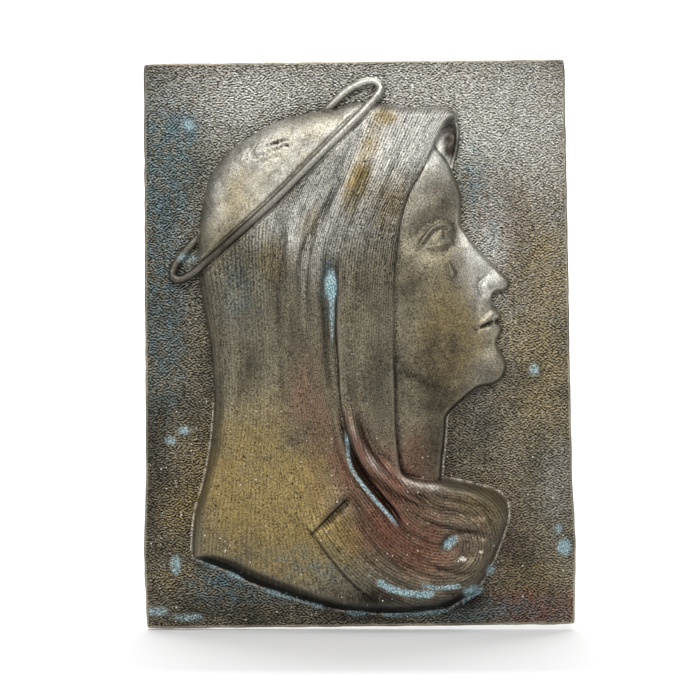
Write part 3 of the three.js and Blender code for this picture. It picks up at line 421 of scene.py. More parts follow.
@dataclass
class HeadInProfile:
    """Generic calm profile on the textbook thirds, leaning forward under the hood."""

    tilt: float = math.radians(16)
    third: float = 44.0
    forehead: tuple[float, float] = (47.0, 86.5)
    forehead_in_thirds: tuple[float, float] = (0.03, 1.43)
    contour_step: float = 2.4
    contour_run: float = 1.7
    cheek_rise: float = 6.6
    cheek_run: float = 26.0
    softness: float = 4.0
    neck_rise: float = 4.2
    neck_run: float = 18.0
    tear: tuple[float, ...] = (-0.3, 0.36, 0.055, 0.2, 1.2)

    def __post_init__(self) -> None:
        """Sets the face's axes and the tracks of its outline."""
        self.forward = np.array([math.cos(self.tilt), math.sin(self.tilt)])
        self.up = np.array([-math.sin(self.tilt), math.cos(self.tilt)])
        ahead, above = self.forehead_in_thirds
        self.nose_base = np.array(self.forehead) - self.third * (ahead * self.forward + above * self.up)
        contour = smooth_rows(self.on_plate(PROFILE))
        throat = smooth_rows(np.vstack([self.on_plate(((-0.25, -1.03), (-0.4, -1.03))), NECK_FRONT]))
        behind = ((36, -74), (11, -74), (6, 22), (11, 97), (21, 113))
        plane = smooth_rows(self.on_plate(HEAD_PLANE))
        self.contour = Track(np.vstack([contour, throat[1:]]))
        self.outline = Track(np.vstack([contour, throat[1:], behind]), True)
        self.plane = Track(np.vstack([plane, throat[6:], behind]), True)
        self.jaw = Track(smooth_rows(self.on_plate(JAW)))

    def on_plate(self, points: Points) -> Array:
        """Points given in thirds of the face, as mm on the plate."""
        points = np.asarray(points, float)
        return self.nose_base + self.third * (points[:, :1] * self.forward + points[:, 1:2] * self.up)

    def features(self, x: Array, z: Array) -> Array:
        """Height of the features: bells turned to their masses, and bell-shaped lines.

        Args:
            x: places across, in mm.
            z: places up, in mm.

        Returns:
            Heights in mm over the plain cheek.
        """
        offset = np.stack([x - self.nose_base[0], z - self.nose_base[1]], -1) / self.third
        ahead, above = offset @ self.forward, offset @ self.up
        height = np.zeros(x.shape)
        for middle, level, length, rise, amount, turn in MASSES:
            cos, sin = math.cos(turn), math.sin(turn)
            across = ((ahead - middle) * cos + (above - level) * sin) / length
            upward = ((above - level) * cos - (ahead - middle) * sin) / rise
            height += amount * np.exp(-across**2 - upward**2)
        middle, level, width, rise, amount = self.tear
        share = np.clip((above - level) / rise + 0.5, 0, 1)
        # A drop: its half width is w √t' (1 − share), rounded below and drawn out above
        half = width * np.sqrt(np.clip(share * 6, 0, 1)) * (1 - share) ** 0.8 + 1e-6
        height += amount * round_edge(np.clip(1 - np.abs(ahead - middle) / half, 0, 1), 1.0)
        for width, amount, ends, line in STROKES + FINE_STROKES:
            near = Track(smooth_rows(self.on_plate(line))).nearest(x, z, 2.6 * width * self.third)
            height += amount * bell(near.distance / (width * self.third)) * fade(near.along, ends)
        return height

    def height(self, x: Array, z: Array) -> Array:
        """Height of the head and neck, 0 outside them.

        A step at the contour, then a quarter-round rise from the smooth line behind the
        features, with the neck lower than the cheek under the jaw's line. The depth d behind
        that line is eased to (d + √(d² + s²))/2, so the nose's side runs into the cheek.

        Args:
            x: places across, in mm.
            z: places up, in mm.

        Returns:
            Heights in mm above the ground.
        """
        edge = self.contour.nearest(x, z).distance
        depth = self.plane.nearest(x, z).signed
        depth = (depth + np.hypot(depth, self.softness)) / 2
        step = self.contour_step * blend(edge, 0, self.contour_run)
        cheek = (step + self.cheek_rise * round_edge(depth, self.cheek_run) ** 1.15
                 + self.features(x, z) * np.sqrt(blend(edge, 0, 3)))
        neck = step + self.neck_rise * round_edge(depth, self.neck_run)
        jaw = self.jaw.nearest(x, z)
        below = blend(jaw.signed, -2.6, 3.4) * blend(1 - jaw.along, 0.02, 0.4)
        return np.where(self.outline.nearest(x, z).signed > 0, cheek + (neck - cheek) * below, 0)


@dataclass
class VeilAndScarf:
    """Veil pulled over the crown, falling to a scarf with a folded end."""

    level_reach: float = 15.0
    pocket: tuple[float, ...] = (44.5, -99.0, 3.4, 2.9, 2.4)
    folds: tuple[Fold, ...] = FOLDS + FLUTES

    def __post_init__(self) -> None:
        """Sets the tracks of the cloth's outline and of the hood's far side."""
        rows = CROWN + CUT_BASE + SCARF_END + SCARF_AT_NECK + VEIL_AT_FACE + HOOD
        self.outline = Track(smooth_rows(rows, True), True)
        places = (CURVE_STEPS * len(CROWN), CURVE_STEPS * (len(CROWN) + len(CUT_BASE)))
        self.base_span = [self.outline.run[place] / self.outline.run[-1] for place in places]
        self.far_side = Track(smooth_rows(HOOD_FAR_SIDE, True), True)

    def level(self, x: Array, z: Array) -> Array:
        """Height of the cloth between its landmarks, each weighed by a bell of its distance.

        Args:
            x: places across, in mm.
            z: places up, in mm.

        Returns:
            Heights in mm above the ground.
        """
        total, weights = np.zeros(x.shape), np.full(x.shape, 1e-9)
        for mark_x, mark_z, height in CLOTH_LEVELS:
            weight = np.exp(-((x - mark_x) ** 2 + (z - mark_z) ** 2) / (2 * self.level_reach**2))
            total += weight * height
            weights += weight
        return total / weights

    def height(self, x: Array, z: Array) -> tuple[Array, Array, Array]:
        """Height of the cloth, how far inside its outline each point is, and the base's wall.

        Level times the quarter-round of its edge, plus the folds and the scarf's pocket. At
        the cut base the edge is a straight sloping wall instead, with a rounded arris.

        Args:
            x: places across, in mm.
            z: places up, in mm.

        Returns:
            Heights in mm above the ground, signed distances to the outline, and the mask of
            the wall under the shoulder.
        """
        near = self.outline.nearest(x, z)
        width = np.maximum(near.sizes[..., 0], 0.5)
        rounding = round_edge(np.maximum(near.signed, 0), width)
        cut = blend(near.along, self.base_span[0], self.base_span[0] + 0.012) * blend(
            -near.along, -self.base_span[1], -self.base_span[1] + 0.02)
        slope = np.clip(near.signed / width, 0, 1.4)
        slope = np.where(slope < 0.8, slope, 1 - np.maximum(1.2 - slope, 0) ** 2 / 0.8)
        rounding = rounding + (slope - rounding) * cut
        share = np.clip(near.sizes[..., 1], 0, 1)
        pocket_x, pocket_z, width, rise, depth = self.pocket
        pocket = np.hypot((x - pocket_x) / width, (z - pocket_z) / rise)
        relief = sum((fold.height_at(x, z) for fold in self.folds), -depth * np.exp(-(pocket**3)))
        body = self.level(x, z) * (share + (1 - share) * rounding)
        wall = cut * (near.signed > 0) * blend(1.05 - near.signed / width, 0, 0.12)
        return np.maximum(body + relief * blend(rounding, 0, 0.9), 0), near.signed, wall

    def far_height(self, x: Array, z: Array) -> Array:
        """Height of the hood's far side beyond the forehead: a low rim that falls inwards."""
        inside = self.far_side.nearest(x, z, 1).signed
        return (1.3 + 1.3 * bell((inside - 1.2) / 1.2)) * blend(inside, 0, 0.8) * (inside > 0)


@dataclass
class RingHalo:
    """Ring of round rod seen almost edge-on, cast fused to the head."""

    radius: float = 2.1
    sunk: float = 0.3
    lowest_over_cloth: float = 2.9

    def __post_init__(self) -> None:
        """Sets the rod's track."""
        self.track = Track(smooth_rows(HALO, True), True)

    def over(self, surface: Array, x: Array, z: Array, on_cloth: Array) -> tuple[Array, Array]:
        """Lays the rod over the surface, with a fine chased line along each side.

        Rod: lift − sunk + r√(1 − (d/r)²). Line: −0.9 e^(−((d − r − 0.5)/0.7)²).

        Args:
            surface: heights under the rod, in mm.
            x: places across, in mm.
            z: places up, in mm.
            on_cloth: where the rod passes behind the veil if it lies low.

        Returns:
            Heights with the rod, and the rod's mask.
        """
        near = self.track.nearest(x, z, 8)
        lift = near.sizes[..., 0]
        shown = ~((lift < self.lowest_over_cloth) & on_cloth)
        line = 0.9 * bell((near.distance - self.radius - 0.5) / 0.7) * shown * (near.distance < 8)
        round_side = np.sqrt(np.clip(1 - (near.distance / self.radius) ** 2, 0, 1))
        rod = lift - self.sunk + self.radius * round_side
        on = (near.distance < self.radius) & shown
        lowered = surface - line * blend(surface, 1, 4)
        return np.where(on, np.maximum(surface, rod), lowered), on


@dataclass
class Plate:
    """The plate, trimmed by hand a little out of square, with a rolled front edge."""

    height: float = 282.0
    top_width: float = 210.0
    bottom_width: float = 214.0
    thickness: float = 5.0
    edge_radius: float = 1.8
    back_bevel: float = 0.6
    corner: float = 3.0
    shifts: tuple[float, float] = (1.8, -1.6)
    rise: float = 2.2
    swell: float = 1.2
    ground_wave: float = 0.22

    @property
    def inner(self) -> Array:
        """Half width and half height of the flat front inside the rolled edge, in mm."""
        return np.array([self.top_width / 2 - self.edge_radius, self.height / 2 - self.edge_radius])

    def on_plan(self, across: Array, up: Array) -> tuple[Array, Array]:
        """Point of the plan, from −1 to 1 across and up, on the slightly crooked outline.

        Args:
            across: share of the half width.
            up: share of the half height.

        Returns:
            x and z in mm.
        """
        share = (up + 1) / 2
        half_width = (self.bottom_width + (self.top_width - self.bottom_width) * share) / 2
        swell = self.swell * across**3 * bell((up + 0.72) / 0.16)
        x = self.shifts[0] + (self.shifts[1] - self.shifts[0]) * share + across * half_width + swell
        return x, (up * self.height + across * self.rise) / 2

    def ground(self, x: Array, z: Array) -> Array:
        """Slow unevenness of the ground under the stipple: long waves and hammered ones."""
        return (self.ground_wave * np.sin(x / 23 + 1) * np.cos(z / 31)
                + 0.05 * ripples(x, z, 9.0, 5) + 0.03 * ripples(x, z, 4.5, 6))


@dataclass
class HollowBack:
    """Shallow oval hollow that keeps the casting's wall even: x, z, half axes and depth."""

    middle: tuple[float, float] = (-18.0, -8.0)
    half_axes: tuple[float, float] = (43.18, 101.6)
    depth: float = 6.0
    profile: Points = ((1.0, 0.0), (0.985, 0.3), (0.94, 0.72), (0.86, 0.93), (0.7, 1.0), (0.35, 1.0))


@dataclass
class DrawnNet:
    """Grid of points drawn together where the relief bends, like a net of springs."""

    columns: int = 33
    rows: int = 43
    rounds: tuple[int, ...] = (220, 160, 110, 80)

    def relax(self, weight: Array, half: Array) -> tuple[Array, Array]:
        """Moves each point to the weighted mean of its four neighbours, coarse to fine.

        A spring's weight is the raster's value at its middle, so springs shorten where the
        raster is high. Border points slide along their own side.

        Args:
            weight: raster over the rectangle, rows from the bottom.
            half: the rectangle's half width and half height, in mm; not used.

        Returns:
            x and z of the points over the rectangle, from −1 to 1, one row per row.
        """
        net = np.stack(np.meshgrid(np.linspace(-1, 1, self.columns), np.linspace(-1, 1, self.rows)), -1)
        last = np.array(weight.shape)[::-1] - 1
        for level, rounds in enumerate(self.rounds):
            if level:
                net = self.doubled(net)
            for number in range(rounds):
                if number % 4 == 0:
                    pulls = [self.pull(net, weight, last, axis) for axis in (0, 1)]
                self.settle(net, pulls)
        return net[..., 0], net[..., 1]

    @staticmethod
    def doubled(net: Array) -> Array:
        """Puts a point halfway between every two.

        Args:
            net: rows by columns by two.

        Returns:
            The net with almost twice as many rows and columns.
        """
        for axis in (0, 1):
            first = np.take(net, np.arange(net.shape[axis] - 1), axis)
            second = np.take(net, np.arange(1, net.shape[axis]), axis)
            both = np.stack([first, (first + second) / 2], axis + 1)
            shape = list(net.shape)
            shape[axis] = 2 * (shape[axis] - 1)
            net = np.concatenate([both.reshape(shape), np.take(net, [-1], axis)], axis)
        return net

    @staticmethod
    def pull(net: Array, weight: Array, last: Array, axis: int) -> Array:
        """Raster's value at the middle of every spring along one axis of the net.

        Args:
            net: rows by columns by two, from −1 to 1.
            weight: the raster.
            last: the raster's last column and last row.
            axis: 0 for springs between rows, 1 between columns.

        Returns:
            The springs' weights, with a third axis of one.
        """
        middle = (np.take(net, np.arange(net.shape[axis] - 1), axis)
                  + np.take(net, np.arange(1, net.shape[axis]), axis)) / 2
        cell = np.clip(np.rint((middle + 1) / 2 * last), 0, last).astype(int)
        return weight[cell[..., 1], cell[..., 0]][..., None]

    @staticmethod
    def settle(net: Array, pulls: Sequence[Array]) -> None:
        """One round: weighted means inside, and along the sides for the border.

        Args:
            net: the points, moved in place.
            pulls: weights of the springs between rows and between columns.
        """
        down, across = pulls
        total = down[:-1, 1:-1] + down[1:, 1:-1] + across[1:-1, :-1] + across[1:-1, 1:]
        moved = (down[:-1, 1:-1] * net[:-2, 1:-1] + down[1:, 1:-1] * net[2:, 1:-1]
                 + across[1:-1, :-1] * net[1:-1, :-2] + across[1:-1, 1:] * net[1:-1, 2:]) / total
        sides = [(across[row, :, 0], net[row, :, 0]) for row in (0, -1)]
        sides += [(down[:, column, 0], net[:, column, 1]) for column in (0, -1)]
        for springs, line in sides:
            drawn = springs[:-1] * line[:-2] + springs[1:] * line[2:]
            line[1:-1] = drawn / (springs[:-1] + springs[1:])
        net[1:-1, 1:-1] = moved


# Combing of the veil: lines that every strand runs between, from the back to the face edge
STRAND_GUIDES = (
    ((-78.5, 29.5), (-73.5, 4.5), (-71, -28), (-73, -50.5), (-79.5, -78), (-81.5, -103)),
    ((-59, 54), (-57.5, 22), (-56.5, -28), (-60, -68), (-63, -105.5)),
    ((-39, 72), (-43, 47), (-41.5, 12), (-40, -28), (-41.5, -68), (-36.5, -118)),
    ((-21.5, 90.5), (-33, 64.5), (-35, 37), (-34, 2), (-31.5, -38), (-26.5, -79), (-14, -124)),
    ((-4, 107), (-20, 72), (-28, 42), (-26.5, 7), (-20, -28), (-11.5, -63), (1, -98), (16, -128)),
    ((8.5, 119.5), (-6.5, 82), (-18, 47), (-16.5, 22), (-13, -13), (-5, -43), (8.5, -73), (28.5, -100.5),
     (46, -123)),
    ((23.5, 118), (8.5, 82), (-4, 52), (-6.5, 22), (-4, -13), (2, -43), (21, -68), (46, -88)),
    ((38.5, 117.5), (23.5, 84.5), (11, 57), (7, 22), (7.5, -13), (11, -43), (23.5, -65.5)),
    ((50, 114), (38, 98), (28, 76), (19.5, 40), (18.5, -3), (19.5, -40), (24, -66)),
)
SCARF_SPINE = ((-7.5, -32), (-2, -55.5), (10, -74), (23, -91), (36, -98), (44.5, -99))
SCARF_REGION = (
    (-9, -25.5), (-6, -48), (-3, -60.5), (-4, -74), (-12, -80.5), (-22.5, -94.5), (-16.5, -104),
    (-6.5, -115), (5, -124), (15, -131), (31, -140.5), (81, -138), (86, -68), (45, -63), (23.5, -66),
    (17, -60), (10, -53), (4, -44), (0, -33), (-4, -28),
)


@dataclass
class Combing:
    """Fine strokes of the modelling comb on the cloth, as places for the bump to follow."""

    lines_between_guides: float = 10.0
    scarf_pitch: float = 1.5
    along_scale: float = 10.0
    drawn_on: float = 25.0

    def extended(self, line: Points) -> Array:
        """Smooth curve through the guide, drawn on straight at both ends.

        Args:
            line: the guide's points.

        Returns:
            The curve's points.
        """
        curve = smooth_rows(line)
        first, last = curve[0] - curve[2], curve[-1] - curve[-3]
        return np.vstack([curve[0] + self.drawn_on * first / np.hypot(*first), curve,
                          curve[-1] + self.drawn_on * last / np.hypot(*last)])

    def on_veil(self, x: Array, z: Array) -> tuple[Array, Array]:
        """Line number across the veil, and length along it.

        Between two guides the number grows as the share d₁/(d₁ − d₂) of their signed
        distances, so strands draw together where the guides do.

        Args:
            x: places across, in mm.
            z: places up, in mm.

        Returns:
            Line numbers, and lengths in tenths of a centimetre's line.
        """
        signed = [Track(self.extended(line)).nearest(x, z).signed for line in STRAND_GUIDES]
        number = signed[0] / 17
        for index, (left, right) in enumerate(zip(signed, signed[1:])):
            share = left / np.maximum(left - right, 1e-6)
            number = np.where(left > 0, index + np.clip(share, 0, 1), number)
        number = np.where(signed[-1] > 0, len(signed) - 1 + signed[-1] / 12, number)
        return number * self.lines_between_guides, z / self.along_scale

    def on_scarf(self, x: Array, z: Array) -> tuple[Array, Array, Array]:
        """Line number round the scarf's spine, length along it, and the scarf's mask.

        Args:
            x: places across, in mm.
            z: places up, in mm.

        Returns:
            Line numbers by distance, lengths, and the mask fading over 2 mm at its edge.
        """
        spine = Track(smooth_rows(SCARF_SPINE)).nearest(x, z)
        inside = Track(SCARF_REGION, True).nearest(x, z).signed
        angle = np.arctan2(z + 99, x - 44.5)
        length = spine.along * 100 + np.where(spine.along > 0.98, angle * 12, 0)
        return spine.distance / self.scarf_pitch, length / self.along_scale, blend(inside, -0.5, 2)


class Masks(NamedTuple):
    """Heights of the relief in mm, and what shows at each point, from 0 to 1."""

    height: Array
    cloth: Array
    skin: Array
    rod: Array
    wall: Array
    inside: Array


@dataclass
class Relief:
    """The whole relief as one height over the plate; the nearer layer hides the farther."""

    plate: Plate = field(default_factory=Plate)
    head: HeadInProfile = field(default_factory=HeadInProfile)
    cloth: VeilAndScarf = field(default_factory=VeilAndScarf)
    halo: RingHalo = field(default_factory=RingHalo)
    combing: Combing = field(default_factory=Combing)
    edge_run: float = 0.9
    pit_depth: float = 0.45

    def at(self, x: Array, z: Array) -> Masks:
        """Stacks ground, hood's far side, head, cloth and halo.

        Args:
            x: places across, in mm.
            z: places up, in mm.

        Returns:
            The heights and masks, in the points' own shape.
        """
        cloth, inside, wall = self.cloth.height(x, z)
        cloth = cloth + self.flutes(x, z) * blend(inside, 1, 5) * (1 - wall)
        head = self.head.height(x, z)
        on_cloth = inside > 0
        skin = (head > 0) & ~on_cloth
        # The veil's edge climbs from the skin over 0.9 mm, so that its line stays smooth
        cloth = np.where(head > 0, head + (cloth - head) * blend(inside, 0, self.edge_run), cloth)
        figure = np.where(on_cloth, cloth, np.where(skin, head, self.cloth.far_height(x, z)))
        surface = np.maximum(figure, self.plate.ground(x, z))
        surface = surface - self.pits(x, z) * blend(surface, 1, 4)
        height, rod = self.halo.over(surface, x, z, on_cloth)
        return Masks(height, on_cloth * 1.0, skin * 1.0, rod * 1.0, wall, inside)

    def pits(self, x: Array, z: Array) -> Array:
        """Depth of the casting pits on the crown, in mm: crests of short waves in a patch."""
        patch = sum(bloom.at(x, z) for bloom in CASTING_PITS)
        return self.pit_depth * patch * blend(ripples(x, z, 2.4, 51), 0.25, 0.9)

    def flutes(self, x: Array, z: Array) -> Array:
        """Shallow flutes that follow the combing, 4 to 9 mm apart, deepest on the hood.

        A seeded sum of sines across the line numbers, so they draw together with the lines.

        Args:
            x: places across, in mm.
            z: places up, in mm.

        Returns:
            Heights in mm, a few tenths either way.
        """
        strand, _ = self.combing.on_veil(x, z)
        ring, _, scarf = self.combing.on_scarf(x, z)
        hood = 0.05 + 0.13 * blend(x * 0.69 - z * 0.73, -80, -60) * blend(z, 10, 70)
        veil = ripples(strand, z * 0.12, 4.5, 31) * hood
        return (veil * (1 - scarf) + 0.13 * ripples(ring, x * 0.1, 2.6, 32, 8) * scarf
                + 0.035 * ripples(x, z, 7, 11))


def spread(raster: Array, reach: float) -> Array:
    """Blurs a raster: every pair of cells is weighed by a bell of their distance.

    Args:
        raster: values on a square grid.
        reach: the bell's standard deviation, in cells.

    Returns:
        The blurred raster.
    """
    for _ in (0, 1):
        steps = np.arange(len(raster))
        kernel = np.exp(-((steps[:, None] - steps) ** 2) / (2 * reach**2))
        raster = (kernel / kernel.sum(1, keepdims=True) @ raster).T
    return raster


def sample(raster: Array, across: Array, up: Array) -> Array:
    """Value of a raster over −1 to 1 at any points, straight between its four cells.

    Args:
        raster: values, rows from the bottom.
        across: places across, from −1 to 1.
        up: places up, from −1 to 1.

    Returns:
        The values, in the places' own shape.
    """
    rows, columns = raster.shape
    u, v = (across + 1) / 2 * (columns - 1), (up + 1) / 2 * (rows - 1)
    left = np.clip(u.astype(int), 0, columns - 2)
    low = np.clip(v.astype(int), 0, rows - 2)
    s, t = u - left, v - low
    bottom = raster[low, left] * (1 - s) + raster[low, left + 1] * s
    top = raster[low + 1, left] * (1 - s) + raster[low + 1, left + 1] * s
    return bottom * (1 - t) + top * t


@dataclass(frozen=True)
class Bloom:
    """Soft oval patch of one tone on the plaque: middle, half axes and turn, mm and radians."""

    x: float
    z: float
    half_width: float
    half_height: float
    strength: float = 1.0
    turn: float = 0.0

    def at(self, x: Array, z: Array) -> Array:
        """Strength × e^(−s^1.4), where s is the squared share of the turned half axes.

        Args:
            x: places across, in mm.
            z: places up, in mm.

        Returns:
            The patch's strength there.
        """
        cos, sin = math.cos(self.turn), math.sin(self.turn)
        across = ((x - self.x) * cos + (z - self.z) * sin) / self.half_width
        upward = ((z - self.z) * cos - (x - self.x) * sin) / self.half_height
        return self.strength * np.exp(-((across**2 + upward**2) ** 1.4))


@dataclass(frozen=True)
class Seep:
    """Line of verdigris or dirt along a hollow: half width in mm, strength and points."""

    half_width: float
    strength: float
    line: Points

    def at(self, x: Array, z: Array) -> Array:
        """Strength times the bell of the distance, fading at both ends of the line."""
        near = Track(smooth_rows(self.line)).nearest(x, z, 3 * self.half_width)
        return self.strength * bell(near.distance / self.half_width) * fade(near.along, (0.15, 0.15))


TONES = {
    # Pale grey of worn metal, and painted sheen: the patches along the top of the plate, on the dome and
    # the hood paint a highlight where light from above falls
    "pewter": (
        Bloom(-44, 87, 34, 26, 0.42), Bloom(-84, 42, 10, 32, 0.35), Bloom(22, 104, 34, 16, 0.95),
        Bloom(76, 112, 48, 40, 0.75), Bloom(-74, 122, 40, 26, 0.6), Bloom(36, 72, 12, 20, 0.05),
        Bloom(96, 40, 16, 50, 0.35), Bloom(-12, 66, 12, 26, 0.3, -0.35), Bloom(-28, 62, 5, 20, 0.4, -0.35),
        Bloom(0, 130, 50, 13, 0.8), Bloom(0, 72, 28, 30, 0.55), Bloom(-42, 58, 18, 15, 0.5),
        Bloom(61, 44, 13, 28, 0.7), Bloom(72, 12, 14, 30, 0.3), Bloom(-70, 72, 6, 16, 0.4),
        Bloom(-46, 122, 24, 12, 0.4), Bloom(-25, 44, 9, 26, 0.3), Bloom(14, 86, 16, 12, 0.3),
        Bloom(70, 56, 10, 16, 0.35), Bloom(99, -68, 10, 24, 0.35), Bloom(58, -24, 10, 26, 0.25),
        # Painted highlight along the upper edge of the scarf's collar, where it faces the light
        Seep(2.4, 0.75, ((-5, -34), (-2, -45), (4, -54), (11, -61), (20, -66.5), (32, -69.5), (46, -71.5))),
    ),
    "ochre": (
        Bloom(-46, -73, 38, 44, 0.95), Bloom(4, 92, 6, 20, 0.55, -0.35), Bloom(-2, 74, 7, 16, 0.5, -0.35),
        Bloom(46, 4, 20, 36, 0.5), Bloom(-8, -97, 14, 15, 0.65), Bloom(92, 10, 18, 60, 0.45),
        Bloom(-30, -100, 26, 18, 0.45), Bloom(62, -80, 16, 12, 0.4), Bloom(-24, 58, 5, 14, 0.4, -0.35),
        Bloom(-60, 72, 14, 20, 0.35),
        Bloom(14, 113, 7, 5, 0.6, -0.3), Bloom(16, 72, 9, 18, 0.45, -0.3), Bloom(-42, 42, 8, 12, 0.4),
        Bloom(84, -118, 16, 14, 0.5), Bloom(-92, -84, 12, 20, 0.3), Bloom(-90, -116, 14, 9, 0.35),
    ),
    "copper": (
        Bloom(18, -96, 34, 18, 0.65, -0.55), Bloom(20, -66, 22, 26, 0.45), Bloom(32, -52, 10, 13, 0.2),
        Bloom(84, -130, 26, 10, 0.7), Bloom(-4, -52, 9, 26, 0.5), Bloom(52, -92, 30, 26, 0.32),
        Bloom(8, -62, 9, 16, 0.4, 0.5),
        Bloom(-26, -26, 12, 26, 0.5), Bloom(-18, -54, 8, 24, 0.35), Bloom(70, 60, 14, 24, 0.15),
    ),
    "teal": (
        Bloom(-96, 84, 18, 40, 0.45), Bloom(66, 58, 8, 14, 0.2), Bloom(-52, -118, 26, 9, 0.35, -0.3),
        Bloom(-86, 108, 9, 7, 0.4), Bloom(-97, 5, 12, 45, 0.35),
        Bloom(-72, -122, 16, 9, 0.3, -0.3), Bloom(-58, 26, 14, 22, 0.3), Bloom(60, -132, 40, 7, 0.3),
        Bloom(-14, 30, 5, 20, 0.5), Bloom(58, 84, 7, 16, 0.3), Bloom(-24, -108, 22, 9, 0.35, -0.3),
    ),
    # Dark brown patina and dirt. Some patches are painted shade: inside the hood's far side and on the cut
    # base's wall. The wide band along the bottom makes the plate darker towards the bottom
    "umber": (
        Bloom(0, -150, 150, 26, 0.3), Bloom(-105, -55, 12, 80, 0.35), 
        Bloom(40, -10, 26, 42, 0.5), Bloom(38, -56, 12, 14, 0.35), Bloom(62, -90, 24, 22, 0.3),
        Bloom(-43, 97, 11, 4, 0.15), Bloom(-50, 12, 26, 26, 0.3),
        Bloom(46.5, 101, 5, 12, 1.1), Bloom(0, -98, 18, 16, 0.2), Bloom(30, -128, 40, 7, 0.4),
        Bloom(7, -123, 13, 8, 0.5), Bloom(53, -124, 11, 7, 0.6), Bloom(8, -12, 9, 42, 0.3),
        Bloom(84, -105, 14, 13, 0.4), Bloom(-54, -18, 10, 14, 0.35),
    ),
    "verdigris": (
        Bloom(-13, 29, 2.8, 7, 1.1), Bloom(-12.5, 14, 1.4, 14, 0.7),
        # Along the crease's left lip this line is verdigris and a painted highlight at once, where the lip
        # catches light from above
        Seep(0.9, 1.0, ((-6, -40), (-5, -50), (-3, -60.5), (3.5, -70.5), (13.5, -82), (22, -91.5))),
        Seep(1.6, 1.1, ((8, -115.5), (17, -120.5), (28, -123), (40, -123))),
        Seep(1.2, 0.8, ((30, -118), (40, -120), (52, -119))), Bloom(45.5, -98, 4.4, 2.6, 0.8, 0.7),
        Bloom(57, -122, 5, 3, 0.8), Bloom(-84, 42.5, 5, 3, 0.6), Bloom(-86, -43, 3.5, 2.2, 0.8),
        Bloom(103, -101, 3.5, 4, 1.0), Bloom(88, -13, 3, 3.4, 0.7), Bloom(-84, 109, 3.5, 3, 0.6),
        Bloom(-93, -48, 3, 2.4, 0.7), Bloom(-90, -110, 3, 5, 0.8), Bloom(66, -112, 2.5, 3, 0.6),
        Bloom(-100, -133, 6, 3, 0.6), Bloom(-84, -136, 8, 2.5, 0.5), Bloom(100, -92, 2.5, 3, 0.6),
    ),
}

# Pits that the casting left on the crown and the hood, and two small pale spots on the scarf by its pocket
CASTING_PITS = (Bloom(-37.5, 98.5, 5, 2.6, 1.6), Bloom(-46, 95, 12, 6, 0.6, 0.3), Bloom(1, 61, 4, 4, 0.5))
PALE_SPOTS = (Bloom(52, -106, 1.5, 0.8, 2.0), Bloom(61, -102.5, 0.8, 0.6, 1.5))

def srgb(code: str) -> tuple[float, float, float, float]:
    """Linear colour of an sRGB hex code.

    Args:
        code: the code, with its hash sign.

    Returns:
        Red, green and blue from 0 to 1, and a full alpha.
    """
    values = [int(code[place:place + 2], 16) / 255 for place in (1, 3, 5)]
    linear = [v / 12.92 if v <= 0.04045 else ((v + 0.055) / 1.055) ** 2.4 for v in values]
    return (*linear, 1.0)


def add_node(tree: Any, kind: str, inputs: dict[Any, Any] | None = None, **settings: Any) -> Any:
    """Adds one node, sets its properties and fills its sockets.

    Args:
        tree: the material's or world's node tree.
        kind: the node's type name.
        inputs: values, colours or other nodes' outputs, by socket name or number.
        settings: properties of the node.

    Returns:
        The node.
    """
    node = tree.nodes.new(kind)
    for name, value in settings.items():
        setattr(node, name, value)
    for key, value in (inputs or {}).items():
        if isinstance(value, bpy.types.NodeSocket):
            tree.links.new(value, node.inputs[key])
        else:
            node.inputs[key].default_value = value
    return node


